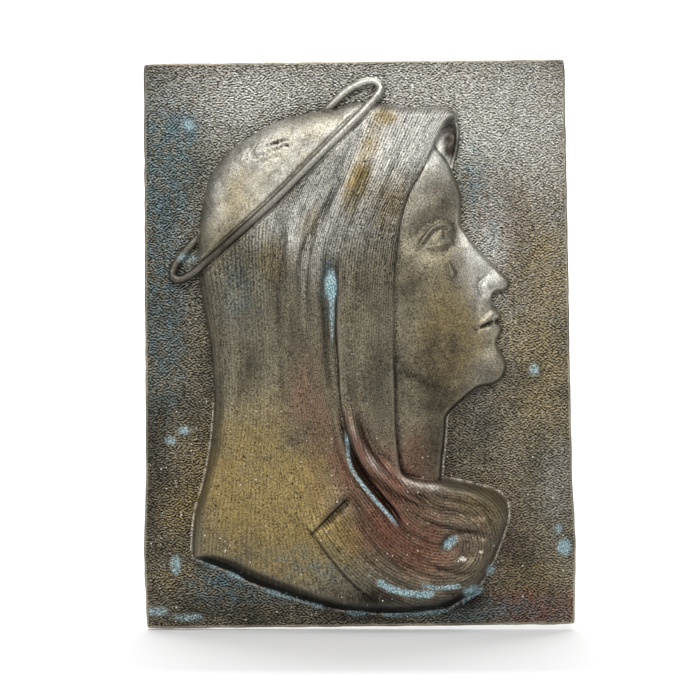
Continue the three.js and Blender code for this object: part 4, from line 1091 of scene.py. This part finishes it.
@dataclass(frozen=True)
class PatinatedBronze:
    """Sand-cast bronze, chased, combed and stippled by hand, then patinated and weathered.

    Brown patina lies in the hollows, the high places are handled down to paler metal, and
    verdigris has grown where water stood. So the eye gets a satin metal whose tone drifts
    from a pale silvery grey through olive brown to ochre and copper red. Painted light is laid
    into the colour as well: painted sheen along the top in the pale grey, and painted shade on
    down-facing slopes, on the cut base's wall and inside the hood's far side.
    """

    name: str = "bronze_cast_patinated"
    olive: str = "#7A7462"
    olive_dark: str = "#4A4438"
    pewter: str = "#A4A29B"
    ochre: str = "#82714A"
    copper: str = "#66483A"
    teal: str = "#5E7176"
    umber: str = "#221D18"
    worn_and_highlight: str = "#C4BEB1"
    spot: str = "#3B3021"
    speck: str = "#DDDAD2"
    verdigris: str = "#547F85"
    verdigris_pale: str = "#BACDD2"
    # The marks of the matting punch are 1.5 mm apart, longer across than up
    punch_pitch: float = 1.5
    punch_stretch: float = 1.2
    punch_depth: float = 0.8
    comb_depth: float = 0.3
    grain_pitch: float = 0.75
    grain_depth: float = 0.22
    # How much darker each of the three makes a place that it sinks
    marks_shade: float = 1.95
    lines_shade: float = 1.45
    grain_shade: float = 3.1
    metallic: float = 0.9

    def build(self) -> Any:
        """Makes the material from the mesh's attributes and Object coordinates.

        Returns:
            The material.
        """
        material = bpy.data.materials.new(self.name)
        material.use_nodes = True
        tree = material.node_tree
        tree.nodes.clear()
        place = add_node(tree, "ShaderNodeTexCoord").outputs["Object"]
        data = {}
        for name in ("zones", "cool_tones", "warm_tones", "form", "veil_comb", "scarf_comb"):
            source = add_node(tree, "ShaderNodeAttribute", attribute_name=name).outputs["Vector"]
            data[name] = add_node(tree, "ShaderNodeSeparateXYZ", {0: source}).outputs
        zones, cool, warm, form = (data[name] for name in ("zones", "cool_tones", "warm_tones", "form"))
        # Tone runs along the strands of the cloth in streaks 5 lines wide
        strand = add_node(tree, "ShaderNodeCombineXYZ", {
            0: data["veil_comb"]["X"], 1: data["veil_comb"]["Y"]}).outputs[0]
        mottle, blotch, grain, streak = (
            add_node(tree, "ShaderNodeTexNoise", {"Vector": where, "Scale": 1 / size, "Detail": detail,
                                                  "Roughness": 0.65}).outputs["Fac"]
            for where, size, detail in ((place, 22 * MM, 7.0), (place, 5 * MM, 5.0),
                                        (place, self.grain_pitch * MM, 3.0), (strand, 5.0, 4.0)))

        half = add_node(tree, "ShaderNodeMath", {0: zones["Y"], 1: 0.5}, operation="MULTIPLY").outputs[0]
        patina = add_node(tree, "ShaderNodeMix", {0: half, 2: mottle, 3: streak}).outputs[0]
        colour = self.coat(tree, srgb(self.olive_dark), srgb(self.olive), patina, 0.28, 0.68)
        for tone, mask, noise, share in (
                (self.pewter, cool["X"], blotch, 0.5), (self.ochre, warm["X"], mottle, 0.8),
                (self.copper, warm["Y"], patina, 1.0), (self.teal, cool["Y"], blotch, 1.0),
                (self.umber, warm["Z"], blotch, 0.35)):
            colour = self.coat(tree, colour, srgb(tone), self.break_up(tree, mask, noise, share))

        marks = add_node(tree, "ShaderNodeMath", {0: self.punch_marks(tree, place), 1: zones["X"]},
                         operation="MULTIPLY").outputs[0]
        lines = add_node(tree, "ShaderNodeMath", {0: self.comb_strokes(tree, data), 1: zones["Y"]},
                         operation="MULTIPLY").outputs[0]
        sunk = form["X"]
        for height, share in (
                (marks, self.marks_shade), (lines, self.lines_shade), (grain, self.grain_shade)):
            sunk = add_node(tree, "ShaderNodeMath", {0: height, 1: share, 2: sunk},
                            operation="MULTIPLY_ADD").outputs[0]
        # Ridges are worn paler and hollows stay darker than the patina between them; the sunk mask also
        # carries painted shade on down-facing slopes and beside the veil's edge, and the painted light on
        # the ground's right side
        wear_and_light = add_node(tree, "ShaderNodeMapRange", {"Value": sunk, "From Min": 1.15, "From Max": 3.05,
                                                       "To Min": 2.6, "To Max": 0.12}).outputs[0]
        colour = add_node(tree, "ShaderNodeVectorMath", {0: colour, "Scale": wear_and_light},
                          operation="SCALE").outputs[0]
        colour = self.coat(tree, colour, srgb(self.umber), sunk, 2.3, 3.9)
        # Paler worn metal on proud places, and on the rim along the lower outline a painted highlight
        colour = self.coat(tree, colour, srgb(self.worn_and_highlight), self.break_up(tree, form["Y"], grain, 1.6))
        for spacing, size, tone, mask in (
                (4 * MM, 0.08, self.spot, warm["X"]), (2.5 * MM, 0.085, self.speck, form["Z"])):
            dots = self.spots(tree, place, spacing, size, mask)
            colour = self.coat(tree, colour, srgb(tone), dots, 0, 0.7)

        green = self.break_up(tree, self.break_up(tree, cool["Z"], streak, 0.6), grain, 1.4)
        specks = self.spots(tree, place, 6 * MM, 0.05, form["Z"])
        green = add_node(tree, "ShaderNodeMath", {0: green, 1: specks}, operation="MAXIMUM").outputs[0]
        crust = self.coat(tree, srgb(self.verdigris), srgb(self.verdigris_pale), grain, 0.42, 0.64)
        colour = self.coat(tree, colour, crust, green, 0.12, 0.8)

        relief = None
        for height, depth in (
                (marks, -self.punch_depth), (lines, -self.comb_depth), (grain, self.grain_depth)):
            bump = {"Strength": 1.0, "Distance": abs(depth) * MM, "Height": height}
            if relief is not None:
                bump["Normal"] = relief
            relief = add_node(tree, "ShaderNodeBump", bump, invert=depth < 0).outputs["Normal"]
        rough = add_node(tree, "ShaderNodeMapRange", {"Value": blotch, "From Min": 0.3, "From Max": 0.7,
                                                      "To Min": 0.38, "To Max": 0.54}).outputs[0]
        rough = add_node(tree, "ShaderNodeMix", {0: green, 2: rough, 3: 0.9}).outputs[0]
        metallic = add_node(tree, "ShaderNodeMapRange", {
            "Value": green, "To Min": self.metallic, "To Max": 0.0}).outputs[0]
        shader = add_node(tree, "ShaderNodeBsdfPrincipled", {
            "Base Color": colour, "Metallic": metallic, "Roughness": rough, "Normal": relief})
        add_node(tree, "ShaderNodeOutputMaterial", {"Surface": shader.outputs["BSDF"]})
        return material

    @staticmethod
    def coat(tree: Any, under: Any, over: Any, mask: Any, low: float = 0.0, high: float = 1.0) -> Any:
        """Lays one colour over another where a mask passes smoothly from low to high.

        Args:
            tree: the material's nodes.
            under: the colour below.
            over: the colour laid on it.
            mask: where it lies.
            low: value of the mask at which the coat begins.
            high: value at which it covers.

        Returns:
            The colour with its coat.
        """
        cover = add_node(tree, "ShaderNodeMapRange", {"Value": mask, "From Min": low, "From Max": high},
                         interpolation_type="SMOOTHSTEP").outputs[0]
        return add_node(tree, "ShaderNodeMix", {0: cover, 6: under, 7: over}, data_type="RGBA").outputs[2]

    @staticmethod
    def break_up(tree: Any, mask: Any, noise: Any, share: float) -> Any:
        """Mask torn by noise: mask × (1 + 4 × share × (noise − 0.5)), kept from 0 to 1."""
        swing = add_node(tree, "ShaderNodeMath", {0: noise, 1: 4 * share, 2: 1 - 2 * share},
                         operation="MULTIPLY_ADD").outputs[0]
        return add_node(tree, "ShaderNodeMath", {0: mask, 1: swing}, operation="MULTIPLY",
                        use_clamp=True).outputs[0]

    @staticmethod
    def spots(tree: Any, place: Any, spacing: float, size: float, mask: Any) -> Any:
        """Small round spots in a few of the cells of a loose pattern.

        Args:
            tree: the material's nodes.
            place: coordinates.
            spacing: size of a cell, in metres.
            size: radius of the largest spots, in cells.
            mask: where they may be.

        Returns:
            The spots' mask.
        """
        cells = add_node(tree, "ShaderNodeTexVoronoi", {"Vector": place, "Scale": 1 / spacing})
        chosen = add_node(tree, "ShaderNodeSeparateXYZ", {0: cells.outputs["Color"]}).outputs["X"]
        radius = add_node(tree, "ShaderNodeMapRange", {"Value": chosen, "From Min": 0.55, "From Max": 1.0,
                                                       "To Min": 0.0, "To Max": 2.5 * size}).outputs[0]
        inside = add_node(tree, "ShaderNodeMath", {0: radius, 1: cells.outputs["Distance"]},
                          operation="SUBTRACT").outputs[0]
        inside = add_node(tree, "ShaderNodeMapRange", {
            "Value": inside, "From Min": 0.0, "From Max": 0.8 * size},
            interpolation_type="SMOOTHSTEP").outputs[0]
        return add_node(tree, "ShaderNodeMath", {0: inside, 1: mask}, operation="MULTIPLY").outputs[0]

    def punch_marks(self, tree: Any, place: Any) -> Any:
        """Marks of the matting punch run into each other: a maze of hollows one pitch apart.

        Args:
            tree: the material's nodes.
            place: Object coordinates.

        Returns:
            Depth of the marks, from 0 to 1.
        """
        sides = add_node(tree, "ShaderNodeSeparateXYZ", {0: place}).outputs
        tall = add_node(tree, "ShaderNodeMath", {0: sides["Z"], 1: self.punch_stretch},
                        operation="MULTIPLY").outputs[0]
        plan = add_node(tree, "ShaderNodeCombineXYZ", {0: sides["X"], 1: tall}).outputs[0]
        maze = add_node(tree, "ShaderNodeTexGabor", {
            "Vector": plan, "Scale": 1 / (2 * self.punch_pitch * MM), "Frequency": 2.0,
            "Anisotropy": 0.38, "Orientation": math.pi / 2}, gabor_type="2D").outputs["Value"]
        fine = add_node(tree, "ShaderNodeTexNoise", {
            "Vector": plan, "Scale": 1 / (1.4 * MM), "Detail": 2.0}).outputs["Fac"]
        maze = add_node(tree, "ShaderNodeMath", {0: fine, 1: 0.75, 2: maze},
                        operation="MULTIPLY_ADD").outputs[0]
        return add_node(tree, "ShaderNodeMapRange", {"Value": maze, "From Min": 0.55, "From Max": 1.15},
                        interpolation_type="SMOOTHSTEP").outputs[0]

    @staticmethod
    def comb_strokes(tree: Any, data: dict[str, Any]) -> Any:
        """Hollow strokes of the comb: a sine across the line numbers, broken along them.

        Args:
            tree: the material's nodes.
            data: the mesh's attributes, each as three numbers.

        Returns:
            Depth of the strokes, from about 0 to 1.
        """
        total = 0.0
        for comb in (data["veil_comb"], data["scarf_comb"]):
            wave = add_node(tree, "ShaderNodeMath", {0: comb["X"], 1: 2 * math.pi},
                            operation="MULTIPLY").outputs[0]
            wave = add_node(tree, "ShaderNodeMath", {0: wave}, operation="SINE").outputs[0]
            along = add_node(tree, "ShaderNodeCombineXYZ", {0: comb["X"], 1: comb["Y"]}).outputs[0]
            streak = add_node(tree, "ShaderNodeTexNoise", {
                "Vector": along, "Scale": 1.1, "Detail": 4.0, "Roughness": 0.7}).outputs["Fac"]
            mixed = add_node(tree, "ShaderNodeMath", {0: wave, 1: 0.17, 2: streak},
                             operation="MULTIPLY_ADD").outputs[0]
            total = add_node(tree, "ShaderNodeMath", {0: mixed, 1: comb["Z"], 2: total},
                             operation="MULTIPLY_ADD").outputs[0]
        return total


@dataclass
class Casting:
    """The plaque as one closed casting: front net, rolled edge, bevelled and hollow back."""

    relief: Relief = field(default_factory=Relief)
    net: DrawnNet = field(default_factory=DrawnNet)
    hollow: HollowBack = field(default_factory=HollowBack)
    cell: float = 0.8
    bend_pull: tuple[float, float, float] = (0.6, 0.55, 0.75)
    edge_steps: int = 3
    ring_share: int = 8
    # Rings from the front's border to the middle of the bevel, handled brighter than the back
    bright_rings: int = 5
    # Reach of the mean heights that hollows and worn places are measured against, in mm
    near_reach: float = 1.2
    wide_reach: float = 4.0
    broad_reach: float = 5.0

    def survey(self) -> tuple[Array, Array, Array]:
        """Heights on a plain raster, from which come the net's pull, the hollows with their painted shade,
        and the wear.

        Returns:
            Spring weights, hollowness with painted shade on down-facing slopes, and wear, as rasters over
            the flat front.
        """
        plate = self.relief.plate
        inset = plate.inner / (plate.inner + plate.edge_radius)
        counts = np.rint(2 * plate.inner / self.cell).astype(int) + 1
        across, up = np.meshgrid(*(np.linspace(-1, 1, count) for count in counts))
        x, z = plate.on_plan(across * inset[0], up * inset[1])
        found = self.relief.at(x, z)
        height = found.height
        down, right = np.gradient(height, self.cell)
        slope = np.hypot(down, right)
        bend = np.abs(np.gradient(down, self.cell, axis=0) + np.gradient(right, self.cell, axis=1))
        base, by_slope, by_bend = self.bend_pull
        weight = base + by_slope * np.clip(slope, 0, 1.5) + by_bend * np.clip(bend, 0, 1.2)
        weight += 0.25 * found.skin
        figure = 0.3 + 0.7 * blend(height, 0.5, 2)
        shade_facing_down = np.clip(down - 0.2, 0, 1.0) * blend(height, 0.3, 1.5)
        local_mean = spread(height, self.near_reach / self.cell)
        near = np.clip(local_mean - height, 0, 1)
        wide = np.clip(spread(height, self.wide_reach / self.cell) - height, 0, 2)
        # Hollowness darkens the colour: patina in the hollows, weighed up on the skin, where it paints the
        # shadow line beside the veil's edge, and painted shade on slopes that face down, away from the
        # light above
        hollow = near * (0.45 + 0.55 * found.skin) * figure + wide * 0.04 * figure + 0.4 * shade_facing_down
        proud = np.clip(height - local_mean - 0.04, 0, 0.5)
        broad = np.clip(height - spread(height, self.broad_reach / self.cell), 0, 2)
        wear = proud * 0.3 + broad * 0.01
        return spread(weight, 1.0 / self.cell), hollow, wear

    def front(self) -> tuple[Array, dict[str, Array]]:
        """Points of the front, and what the finish needs to know of each.

        Returns:
            Points as rows by columns by three, in mm, and the attributes by name.
        """
        plate = self.relief.plate
        inset = plate.inner / (plate.inner + plate.edge_radius)
        weight, hollow, wear = self.survey()
        LOG.info("survey raster %s", weight.shape)
        across, up = self.net.relax(weight, plate.inner)
        LOG.info("net %s drawn together", across.shape)
        x, z = plate.on_plan(across * inset[0], up * inset[1])
        found = self.relief.at(x, z)
        points = np.stack([x, -plate.thickness - found.height, z], -1)
        return points, self.finish_data(x, z, found, sample(hollow, across, up), sample(wear, across, up))

    def tones_at(self, x: Array, z: Array, found: Masks, stipple: Array) -> dict[str, Array]:
        """Share of every tone: its patches, and what the form itself gathers.

        The wall of the cut base is painted dark, a painted shade under the shoulder, and its foot line
        green where water stood; the rod has a darker tone of its own and is painted darker towards its
        lower end as painted shade, and the ground has a little of three tones.

        Args:
            x: places across, in mm.
            z: places up, in mm.
            found: the relief there.
            stipple: where the punched ground shows.

        Returns:
            Shares from 0 to about 1, by the tone's name.
        """
        tones = {name: np.clip(sum(patch.at(x, z) for patch in patches), 0, 1)
                 for name, patches in TONES.items()}
        # Painted shade: the rod darker towards its lower-left end and the base's wall dark, where both face
        # away from the light above; the rod's even share is its own tone
        rod_tone_and_shade = found.rod * (0.2 + 0.45 * blend(-x, 0, 70))
        tones["umber"] = np.maximum(np.maximum(tones["umber"], 1.8 * found.wall), rod_tone_and_shade)
        tones["ochre"] = tones["ochre"] * (1 - found.wall)
        damp = blend(-z, 106, 114) * (0.6 + 0.6 * ripples(x, z, 16, 41, 8))
        tones["verdigris"] += np.clip(damp, 0, 1.2) * bell((found.inside + 0.7) / 1.1)
        for name, share in (("copper", 0.15), ("teal", 0.14), ("ochre", 0.05)):
            tones[name] = tones[name] + share * stipple
        return tones

    def finish_data(
            self, x: Array, z: Array, found: Masks, hollow: Array, wear: Array) -> dict[str, Array]:
        """Vector attributes of the front: zones, tones, form and combing.

        Args:
            x: places across, in mm.
            z: places up, in mm.
            found: the relief there.
            hollow: how sunk each place lies, with painted shade on down-facing slopes and beside the veil's
                edge.
            wear: how proud each place stands.

        Returns:
            Arrays of three numbers a point, by attribute name.
        """
        relief = self.relief
        figure = np.clip(found.cloth + found.skin + found.rod, 0, 1)
        stipple = (1 - figure) * (found.height < 1.2)
        tones = self.tones_at(x, z, found, stipple)
        # A thin pale rim where the ground meets the lower outline: a painted highlight where that lower
        # edge catches light
        outline = np.maximum(found.inside, relief.head.outline.nearest(x, z, 4).signed)
        rim = bell((outline + 0.6) / 0.5) * blend(-z, 10, 50) * (1 + 0.3 * ripples(x, z, 5, 43))
        wear = np.maximum(wear, 0.8 * rim) + sum(drop.at(x, z) for drop in PALE_SPOTS)
        # The comb passed lightly over crown and shoulder, and stopped short of the rod
        strand, length = relief.combing.on_veil(x, z)
        ring, turn, scarf = relief.combing.on_scarf(x, z)
        beside_rod = blend(relief.halo.track.nearest(x, z).distance, 1.5, 4)
        below_rod = blend(x * 0.69 - z * 0.73, -84, -74)
        cloth = found.cloth * (1 - found.rod) * beside_rod * blend(found.inside, 0, 1)
        veil_depth = cloth * (1 - scarf) * (0.25 + 0.75 * below_rod) * (0.35 + 0.65 * blend(z, 5, 75))
        # The ground is lightened as worn metal, and painted brighter to the right and under the pale grey
        # sheen as painted light; the figure keeps more of its patina
        kept = figure * (1 - 0.55 * scarf) * (0.58 - 0.5 * tones["pewter"])
        wear_and_light = stipple * (0.22 + 0.2 * blend(x, -30, 80) + 0.25 * tones["pewter"])
        hollow = (hollow * (1 - 0.35 * scarf) + 1.2 * relief.pits(x, z) + 0.4 * found.rod
                  + 0.2 * found.skin + kept - wear_and_light)
        specks = 0.15 + 0.85 * blend(-z, -20, 110) * (1 - 0.5 * figure)
        return {
            "zones": np.stack([stipple, cloth, found.skin], -1),
            "cool_tones": np.stack([tones["pewter"], tones["teal"], tones["verdigris"]], -1),
            "warm_tones": np.stack([tones["ochre"], tones["copper"], tones["umber"]], -1),
            "form": np.stack([hollow, wear, specks], -1),
            "veil_comb": np.stack([strand, length, veil_depth], -1),
            "scarf_comb": np.stack([ring, turn, 0.75 * cloth * scarf], -1),
        }

    def edge_ring(self, border: Array, outward: Array, offset: float, level: float) -> Array:
        """Border points moved outwards over the rolled edge.

        Args:
            border: border points of the flat front, in mm.
            outward: their directions in the plan.
            offset: distance moved, in mm.
            level: the ring's y, in mm.

        Returns:
            The ring's points.
        """
        nicks = 0.12 * (1 + np.clip(ripples(border[:, 0], border[:, 2], 16, 21), -1, 1))
        move = offset - nicks * offset / self.relief.plate.edge_radius
        return np.stack([border[:, 0] + outward[:, 0] * move, np.full(len(border), level),
                         border[:, 2] + outward[:, 1] * move], -1)

    def rings(self, border: Array, outward: Array) -> list[Array]:
        """Closed rings from the front's border round the edge and onto the back's flat rim.

        The rolled edge is a quarter circle, and the back corner a smaller one.

        Args:
            border: border points of the flat front, in mm.
            outward: their directions in the plan.

        Returns:
            Rings of as many points as the border.
        """
        plate = self.relief.plate
        radius, bevel = plate.edge_radius, plate.back_bevel
        rings = []
        for angle in np.linspace(0, math.pi / 2, self.edge_steps + 1)[1:]:
            ring = self.edge_ring(border, outward, radius * math.sin(angle), 0)
            top = radius * (1 - math.cos(angle)) - plate.thickness
            ring[:, 1] = top + (border[:, 1] + plate.thickness) * math.cos(angle)
            rings.append(ring)
        for angle in (0, math.pi / 4, math.pi / 2):
            inwards = radius - bevel * (1 - math.cos(angle))
            rings.append(self.edge_ring(border, outward, inwards, -bevel * (1 - math.sin(angle))))
        rings.append(self.edge_ring(border, outward, radius - bevel - 0.5, 0))
        return rings

    def back(self, rim: Array) -> list[Array]:
        """Coarser rings from the back's rim to the hollow and down to its floor.

        Each ring of the flat back is a mean of rim and oval; the hollow's rings follow its
        profile of share of the half axes against share of the depth.

        Args:
            rim: every few points of the back's rim, in mm.

        Returns:
            Rings of as many points as the rim.
        """
        middle, axes = np.array(self.hollow.middle), np.array(self.hollow.half_axes)
        angle = np.arctan2((rim[:, 2] - middle[1]) / axes[1], (rim[:, 0] - middle[0]) / axes[0])
        unit = np.stack([np.cos(angle), np.sin(angle)], -1) * axes
        oval = np.stack([middle[0] + unit[:, 0], np.zeros(len(rim)), middle[1] + unit[:, 1]], -1)
        rings = [rim * (1 - share) + oval * share for share in (0.35, 0.7, 0.97)]
        for share, depth in smooth_rows(self.hollow.profile, steps=2):
            level = np.full(len(rim), -depth * self.hollow.depth)
            across, up = (middle[axis] + unit[:, axis] * share for axis in (0, 1))
            rings.append(np.stack([across, level, up], -1))
        return rings

    def build(self) -> Any:
        """Joins front, edge and back into one closed mesh, in metres, with its attributes.

        Returns:
            The plaque's object.
        """
        grid, data = self.front()
        rows, columns = grid.shape[:2]
        number = np.arange(rows * columns).reshape(rows, columns)
        corners = [number[:-1, :-1], number[:-1, 1:], number[1:, 1:], number[1:, :-1]]
        a, b, c, d = (corner.ravel() for corner in corners)
        depth = grid[..., 1].ravel()
        along_ac = (np.abs(depth[a] - depth[c]) <= np.abs(depth[b] - depth[d]))[:, None]
        first = np.where(along_ac, np.stack([a, b, c], -1), np.stack([a, b, d], -1))
        second = np.where(along_ac, np.stack([a, c, d], -1), np.stack([b, c, d], -1))
        faces = [first, second]

        edge = np.concatenate([number[0, :-1], number[:-1, -1], number[-1, :0:-1], number[:0:-1, 0]])
        border = grid.reshape(-1, 3)[edge]
        outward = self.outward_of(edge, columns, rows, border)
        points = [grid.reshape(-1, 3)]
        total = rows * columns
        ring = edge
        for positions in self.rings(border, outward):
            following = np.arange(len(edge)) + total
            faces += self.strip(ring, following)
            points.append(positions)
            total += len(edge)
            ring = following
        rim = points[-1][::self.ring_share]
        positions_of_back = self.back(rim)
        following = np.arange(len(rim)) + total
        faces += self.gathered(ring, following)
        for index, positions in enumerate(positions_of_back):
            if index:
                faces += self.strip(following, following + len(rim))
                following = following + len(rim)
            points.append(positions)
            total += len(rim)
        middle = self.hollow.middle
        points.append(np.array([[middle[0], -self.hollow.depth, middle[1]]]))
        faces.append(np.stack([following, np.full(len(rim), total), np.roll(following, -1)], -1))
        return self.to_object(np.vstack(points), np.vstack(faces), data, edge)

    @staticmethod
    def strip(outer: Array, inner: Array) -> list[Array]:
        """Two triangles between every two neighbours of two rings."""
        after, beyond = np.roll(outer, -1), np.roll(inner, -1)
        return [np.stack([outer, inner, after], -1), np.stack([after, inner, beyond], -1)]

    def gathered(self, outer: Array, inner: Array) -> list[Array]:
        """Triangles from a fine ring to one with a point for every few of its own.

        Args:
            outer: point numbers of the fine ring.
            inner: point numbers of the coarse ring.

        Returns:
            The triangles, in two arrays.
        """
        share, half = self.ring_share, self.ring_share // 2
        step = np.arange(len(outer))
        owner = (step // share + (step % share >= half)) % len(inner)
        fans = np.stack([outer, inner[owner], np.roll(outer, -1)], -1)
        middle = outer[half::share]
        return [fans, np.stack([middle, inner, np.roll(inner, -1)], -1)]

    def outward_of(self, edge: Array, columns: int, rows: int, border: Array) -> Array:
        """Directions out of the border in the plan, turning round the corners.

        Straight out along the sides; within the corner's length of a corner, towards the
        corner's own diagonal.

        Args:
            edge: the border's point numbers.
            columns: points in a row.
            rows: points in a column.
            border: the border's points, in mm.

        Returns:
            Unit directions in x and z.
        """
        plate = self.relief.plate
        column, row = edge % columns, edge // columns
        low, high = border[:, (0, 2)].min(0), border[:, (0, 2)].max(0)
        beyond_high = np.maximum(border[:, (0, 2)] - (high - plate.corner - 2), 0)
        beyond_low = np.maximum(low + plate.corner + 2 - border[:, (0, 2)], 0)
        push = beyond_high - beyond_low
        sides = np.stack([(column == columns - 1) * 1.0 - (column == 0),
                          (row == rows - 1) * 1.0 - (row == 0)], -1)
        push = sides * 4 + np.where(sides == 0, push * 0.8, 0)
        return push / np.hypot(*push.T)[:, None]

    def to_object(self, points: Array, faces: Array, data: dict[str, Array], edge: Array) -> Any:
        """Writes the mesh and its attributes; edge and back take plain values.

        Args:
            points: all points, in mm.
            faces: point numbers of the triangles.
            data: the front's attributes.
            edge: the border's point numbers.

        Returns:
            The object, at the origin.
        """
        mesh = bpy.data.meshes.new("plaque_casting")
        mesh.vertices.add(len(points))
        mesh.vertices.foreach_set("co", (points * MM).ravel())
        mesh.loops.add(faces.size)
        mesh.loops.foreach_set("vertex_index", faces.ravel().astype(np.int32))
        mesh.polygons.add(len(faces))
        mesh.polygons.foreach_set("loop_start", np.arange(0, faces.size, 3, dtype=np.int32))
        mesh.polygons.foreach_set("use_smooth", np.ones(len(faces), bool))
        mesh.update(calc_edges=True)
        spare = len(points) - data["zones"].size // 3
        bright = self.bright_rings * len(edge)
        for name, values in data.items():
            values = values.reshape(-1, 3)
            rest = np.tile(values[edge].mean(0) * 0.5, (spare, 1))
            if name == "zones" or name.endswith("comb"):
                rest[:] = 0
            if name == "form":
                rest[:] = (0.9, 0.02, 0.3)
                rest[:bright, :2] = (0.3, 0.2)
            if name == "warm_tones":
                rest[bright:] = (0.1, 0.2, 0.55)
            attribute = mesh.attributes.new(name, "FLOAT_VECTOR", "POINT")
            attribute.data.foreach_set("vector", np.vstack([values, rest]).ravel())
        plaque = bpy.data.objects.new("plaque_casting", mesh)
        bpy.context.scene.collection.objects.link(plaque)
        LOG.info("plaque: %d points, %d triangles", len(points), len(faces))
        return plaque


@dataclass(frozen=True)
class BackgroundPaper:
    """Matt white background paper: no gloss, with a faint cloudiness 0.4 m across."""

    name: str = "paper_white_matt"
    white: str = "#E6E6E6"
    bright: str = "#EAEAEA"
    cloud: float = 0.4
    roughness: float = 0.95

    def build(self) -> Any:
        """Makes the material on Object coordinates.

        Returns:
            The material.
        """
        material = bpy.data.materials.new(self.name)
        material.use_nodes = True
        tree = material.node_tree
        tree.nodes.clear()
        place = add_node(tree, "ShaderNodeTexCoord").outputs["Object"]
        cloud = add_node(tree, "ShaderNodeTexNoise", {
            "Vector": place, "Scale": 1 / self.cloud, "Detail": 2.0}).outputs["Fac"]
        colour = add_node(tree, "ShaderNodeMix", {0: cloud, 6: srgb(self.white), 7: srgb(self.bright)},
                          data_type="RGBA").outputs[2]
        shader = add_node(tree, "ShaderNodeBsdfPrincipled", {
            "Base Color": colour, "Roughness": self.roughness})
        add_node(tree, "ShaderNodeOutputMaterial", {"Surface": shader.outputs["BSDF"]})
        return material


@dataclass
class Studio:
    """White sweep, soft lights and the camera, which looks straight at the plaque's face."""

    floor: float = -0.1425
    back_wall: float = 2.6
    bend: float = 0.7
    half_width: float = 4.0
    front_end: float = -4.0
    height: float = 3.2
    sides: int = 9
    turn_points: int = 25
    # The camera's distance counts from a plane 1 mm in front of the plate's ground
    distance: float = 0.967
    aim_depth: float = -0.006
    aim: tuple[float, float] = (-0.0036, -0.003)

    def sweep(self) -> Any:
        """Floor that turns up into a wall: a profile of line, quarter circle and line, drawn
        across the width.

        Returns:
            The sweep's object.
        """
        turn = np.linspace(0, math.pi / 2, self.turn_points)
        curve = np.stack([self.back_wall - self.bend + self.bend * np.sin(turn),
                          self.floor + self.bend * (1 - np.cos(turn))], -1)
        profile = np.vstack([[self.front_end, self.floor], curve,
                             [self.back_wall, self.floor + self.height]])
        sides = np.linspace(-self.half_width, self.half_width, self.sides)
        depth, level = (np.repeat(profile[:, axis], len(sides)) for axis in (0, 1))
        points = np.stack([np.tile(sides, len(profile)), depth, level], -1)
        number = np.arange(len(points)).reshape(len(profile), len(sides))
        corners = (number[:-1, :-1], number[:-1, 1:], number[1:, 1:], number[1:, :-1])
        faces = np.stack(corners, -1).reshape(-1, 4)
        mesh = bpy.data.meshes.new("studio_sweep")
        mesh.from_pydata(points.tolist(), [], faces.tolist())
        mesh.polygons.foreach_set("use_smooth", np.ones(len(faces), bool))
        mesh.materials.append(BackgroundPaper().build())
        sweep = bpy.data.objects.new("studio_sweep", mesh)
        bpy.context.scene.collection.objects.link(sweep)
        return sweep

    @staticmethod
    def lamp(name: str, place: Points, aim: Points, size: tuple[float, float], power: float) -> None:
        """Adds a soft rectangular lamp that points at a place.

        Args:
            name: the lamp's name.
            place: where it stands, in metres.
            aim: what it points at.
            size: width and height.
            power: radiant power in watts.
        """
        light = bpy.data.lights.new(name, "AREA")
        light.shape = "RECTANGLE"
        light.size, light.size_y = size
        light.energy = power
        holder = bpy.data.objects.new(name, light)
        holder.location = place
        holder.rotation_euler = (Vector(aim) - Vector(place)).to_track_quat("-Z", "Y").to_euler()
        bpy.context.scene.collection.objects.link(holder)

    def build(self) -> Any:
        """Sets up sweep, lamps, world and camera.

        Returns:
            The sweep.
        """
        scene = bpy.context.scene
        scene.view_settings.view_transform = "Standard"
        self.lamp("softbox_front", (-0.12, -1.12, 0.74), (0, 0, 0.04), (0.5, 0.35), 14)
        self.lamp("panel_above", (0, -0.45, 1.4), (0, -0.45, 0), (1.6, 1.2), 6.2)
        self.lamp("wall_wash", (0, 1.2, 2.6), (0, 2.6, 0.6), (3.0, 0.6), 130)
        world = bpy.data.worlds.new("studio_world")
        world.use_nodes = True
        world.node_tree.nodes["Background"].inputs["Color"].default_value = srgb("#F4F6F8")
        world.node_tree.nodes["Background"].inputs["Strength"].default_value = 0.24
        scene.world = world
        camera = bpy.data.cameras.new("camera")
        camera.lens, camera.sensor_width = 100, 36
        camera.clip_end = 20
        holder = bpy.data.objects.new("camera", camera)
        holder.location = (self.aim[0], self.aim_depth - self.distance, self.aim[1])
        holder.rotation_euler = (math.pi / 2, 0, 0)
        scene.collection.objects.link(holder)
        scene.camera = holder
        return self.sweep()


def main() -> None:
    """Builds the casting and the studio, and ties the casting to the CAD frame."""
    logging.basicConfig(level=logging.INFO, format="%(name)s: %(message)s", stream=sys.stdout)
    Studio().build()
    LOG.info("studio built")
    plaque = Casting().build()
    plaque.data.materials.append(PatinatedBronze().build())
    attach(plaque, "root")
    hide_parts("plaque")


if __name__ == "__main__":
    main()
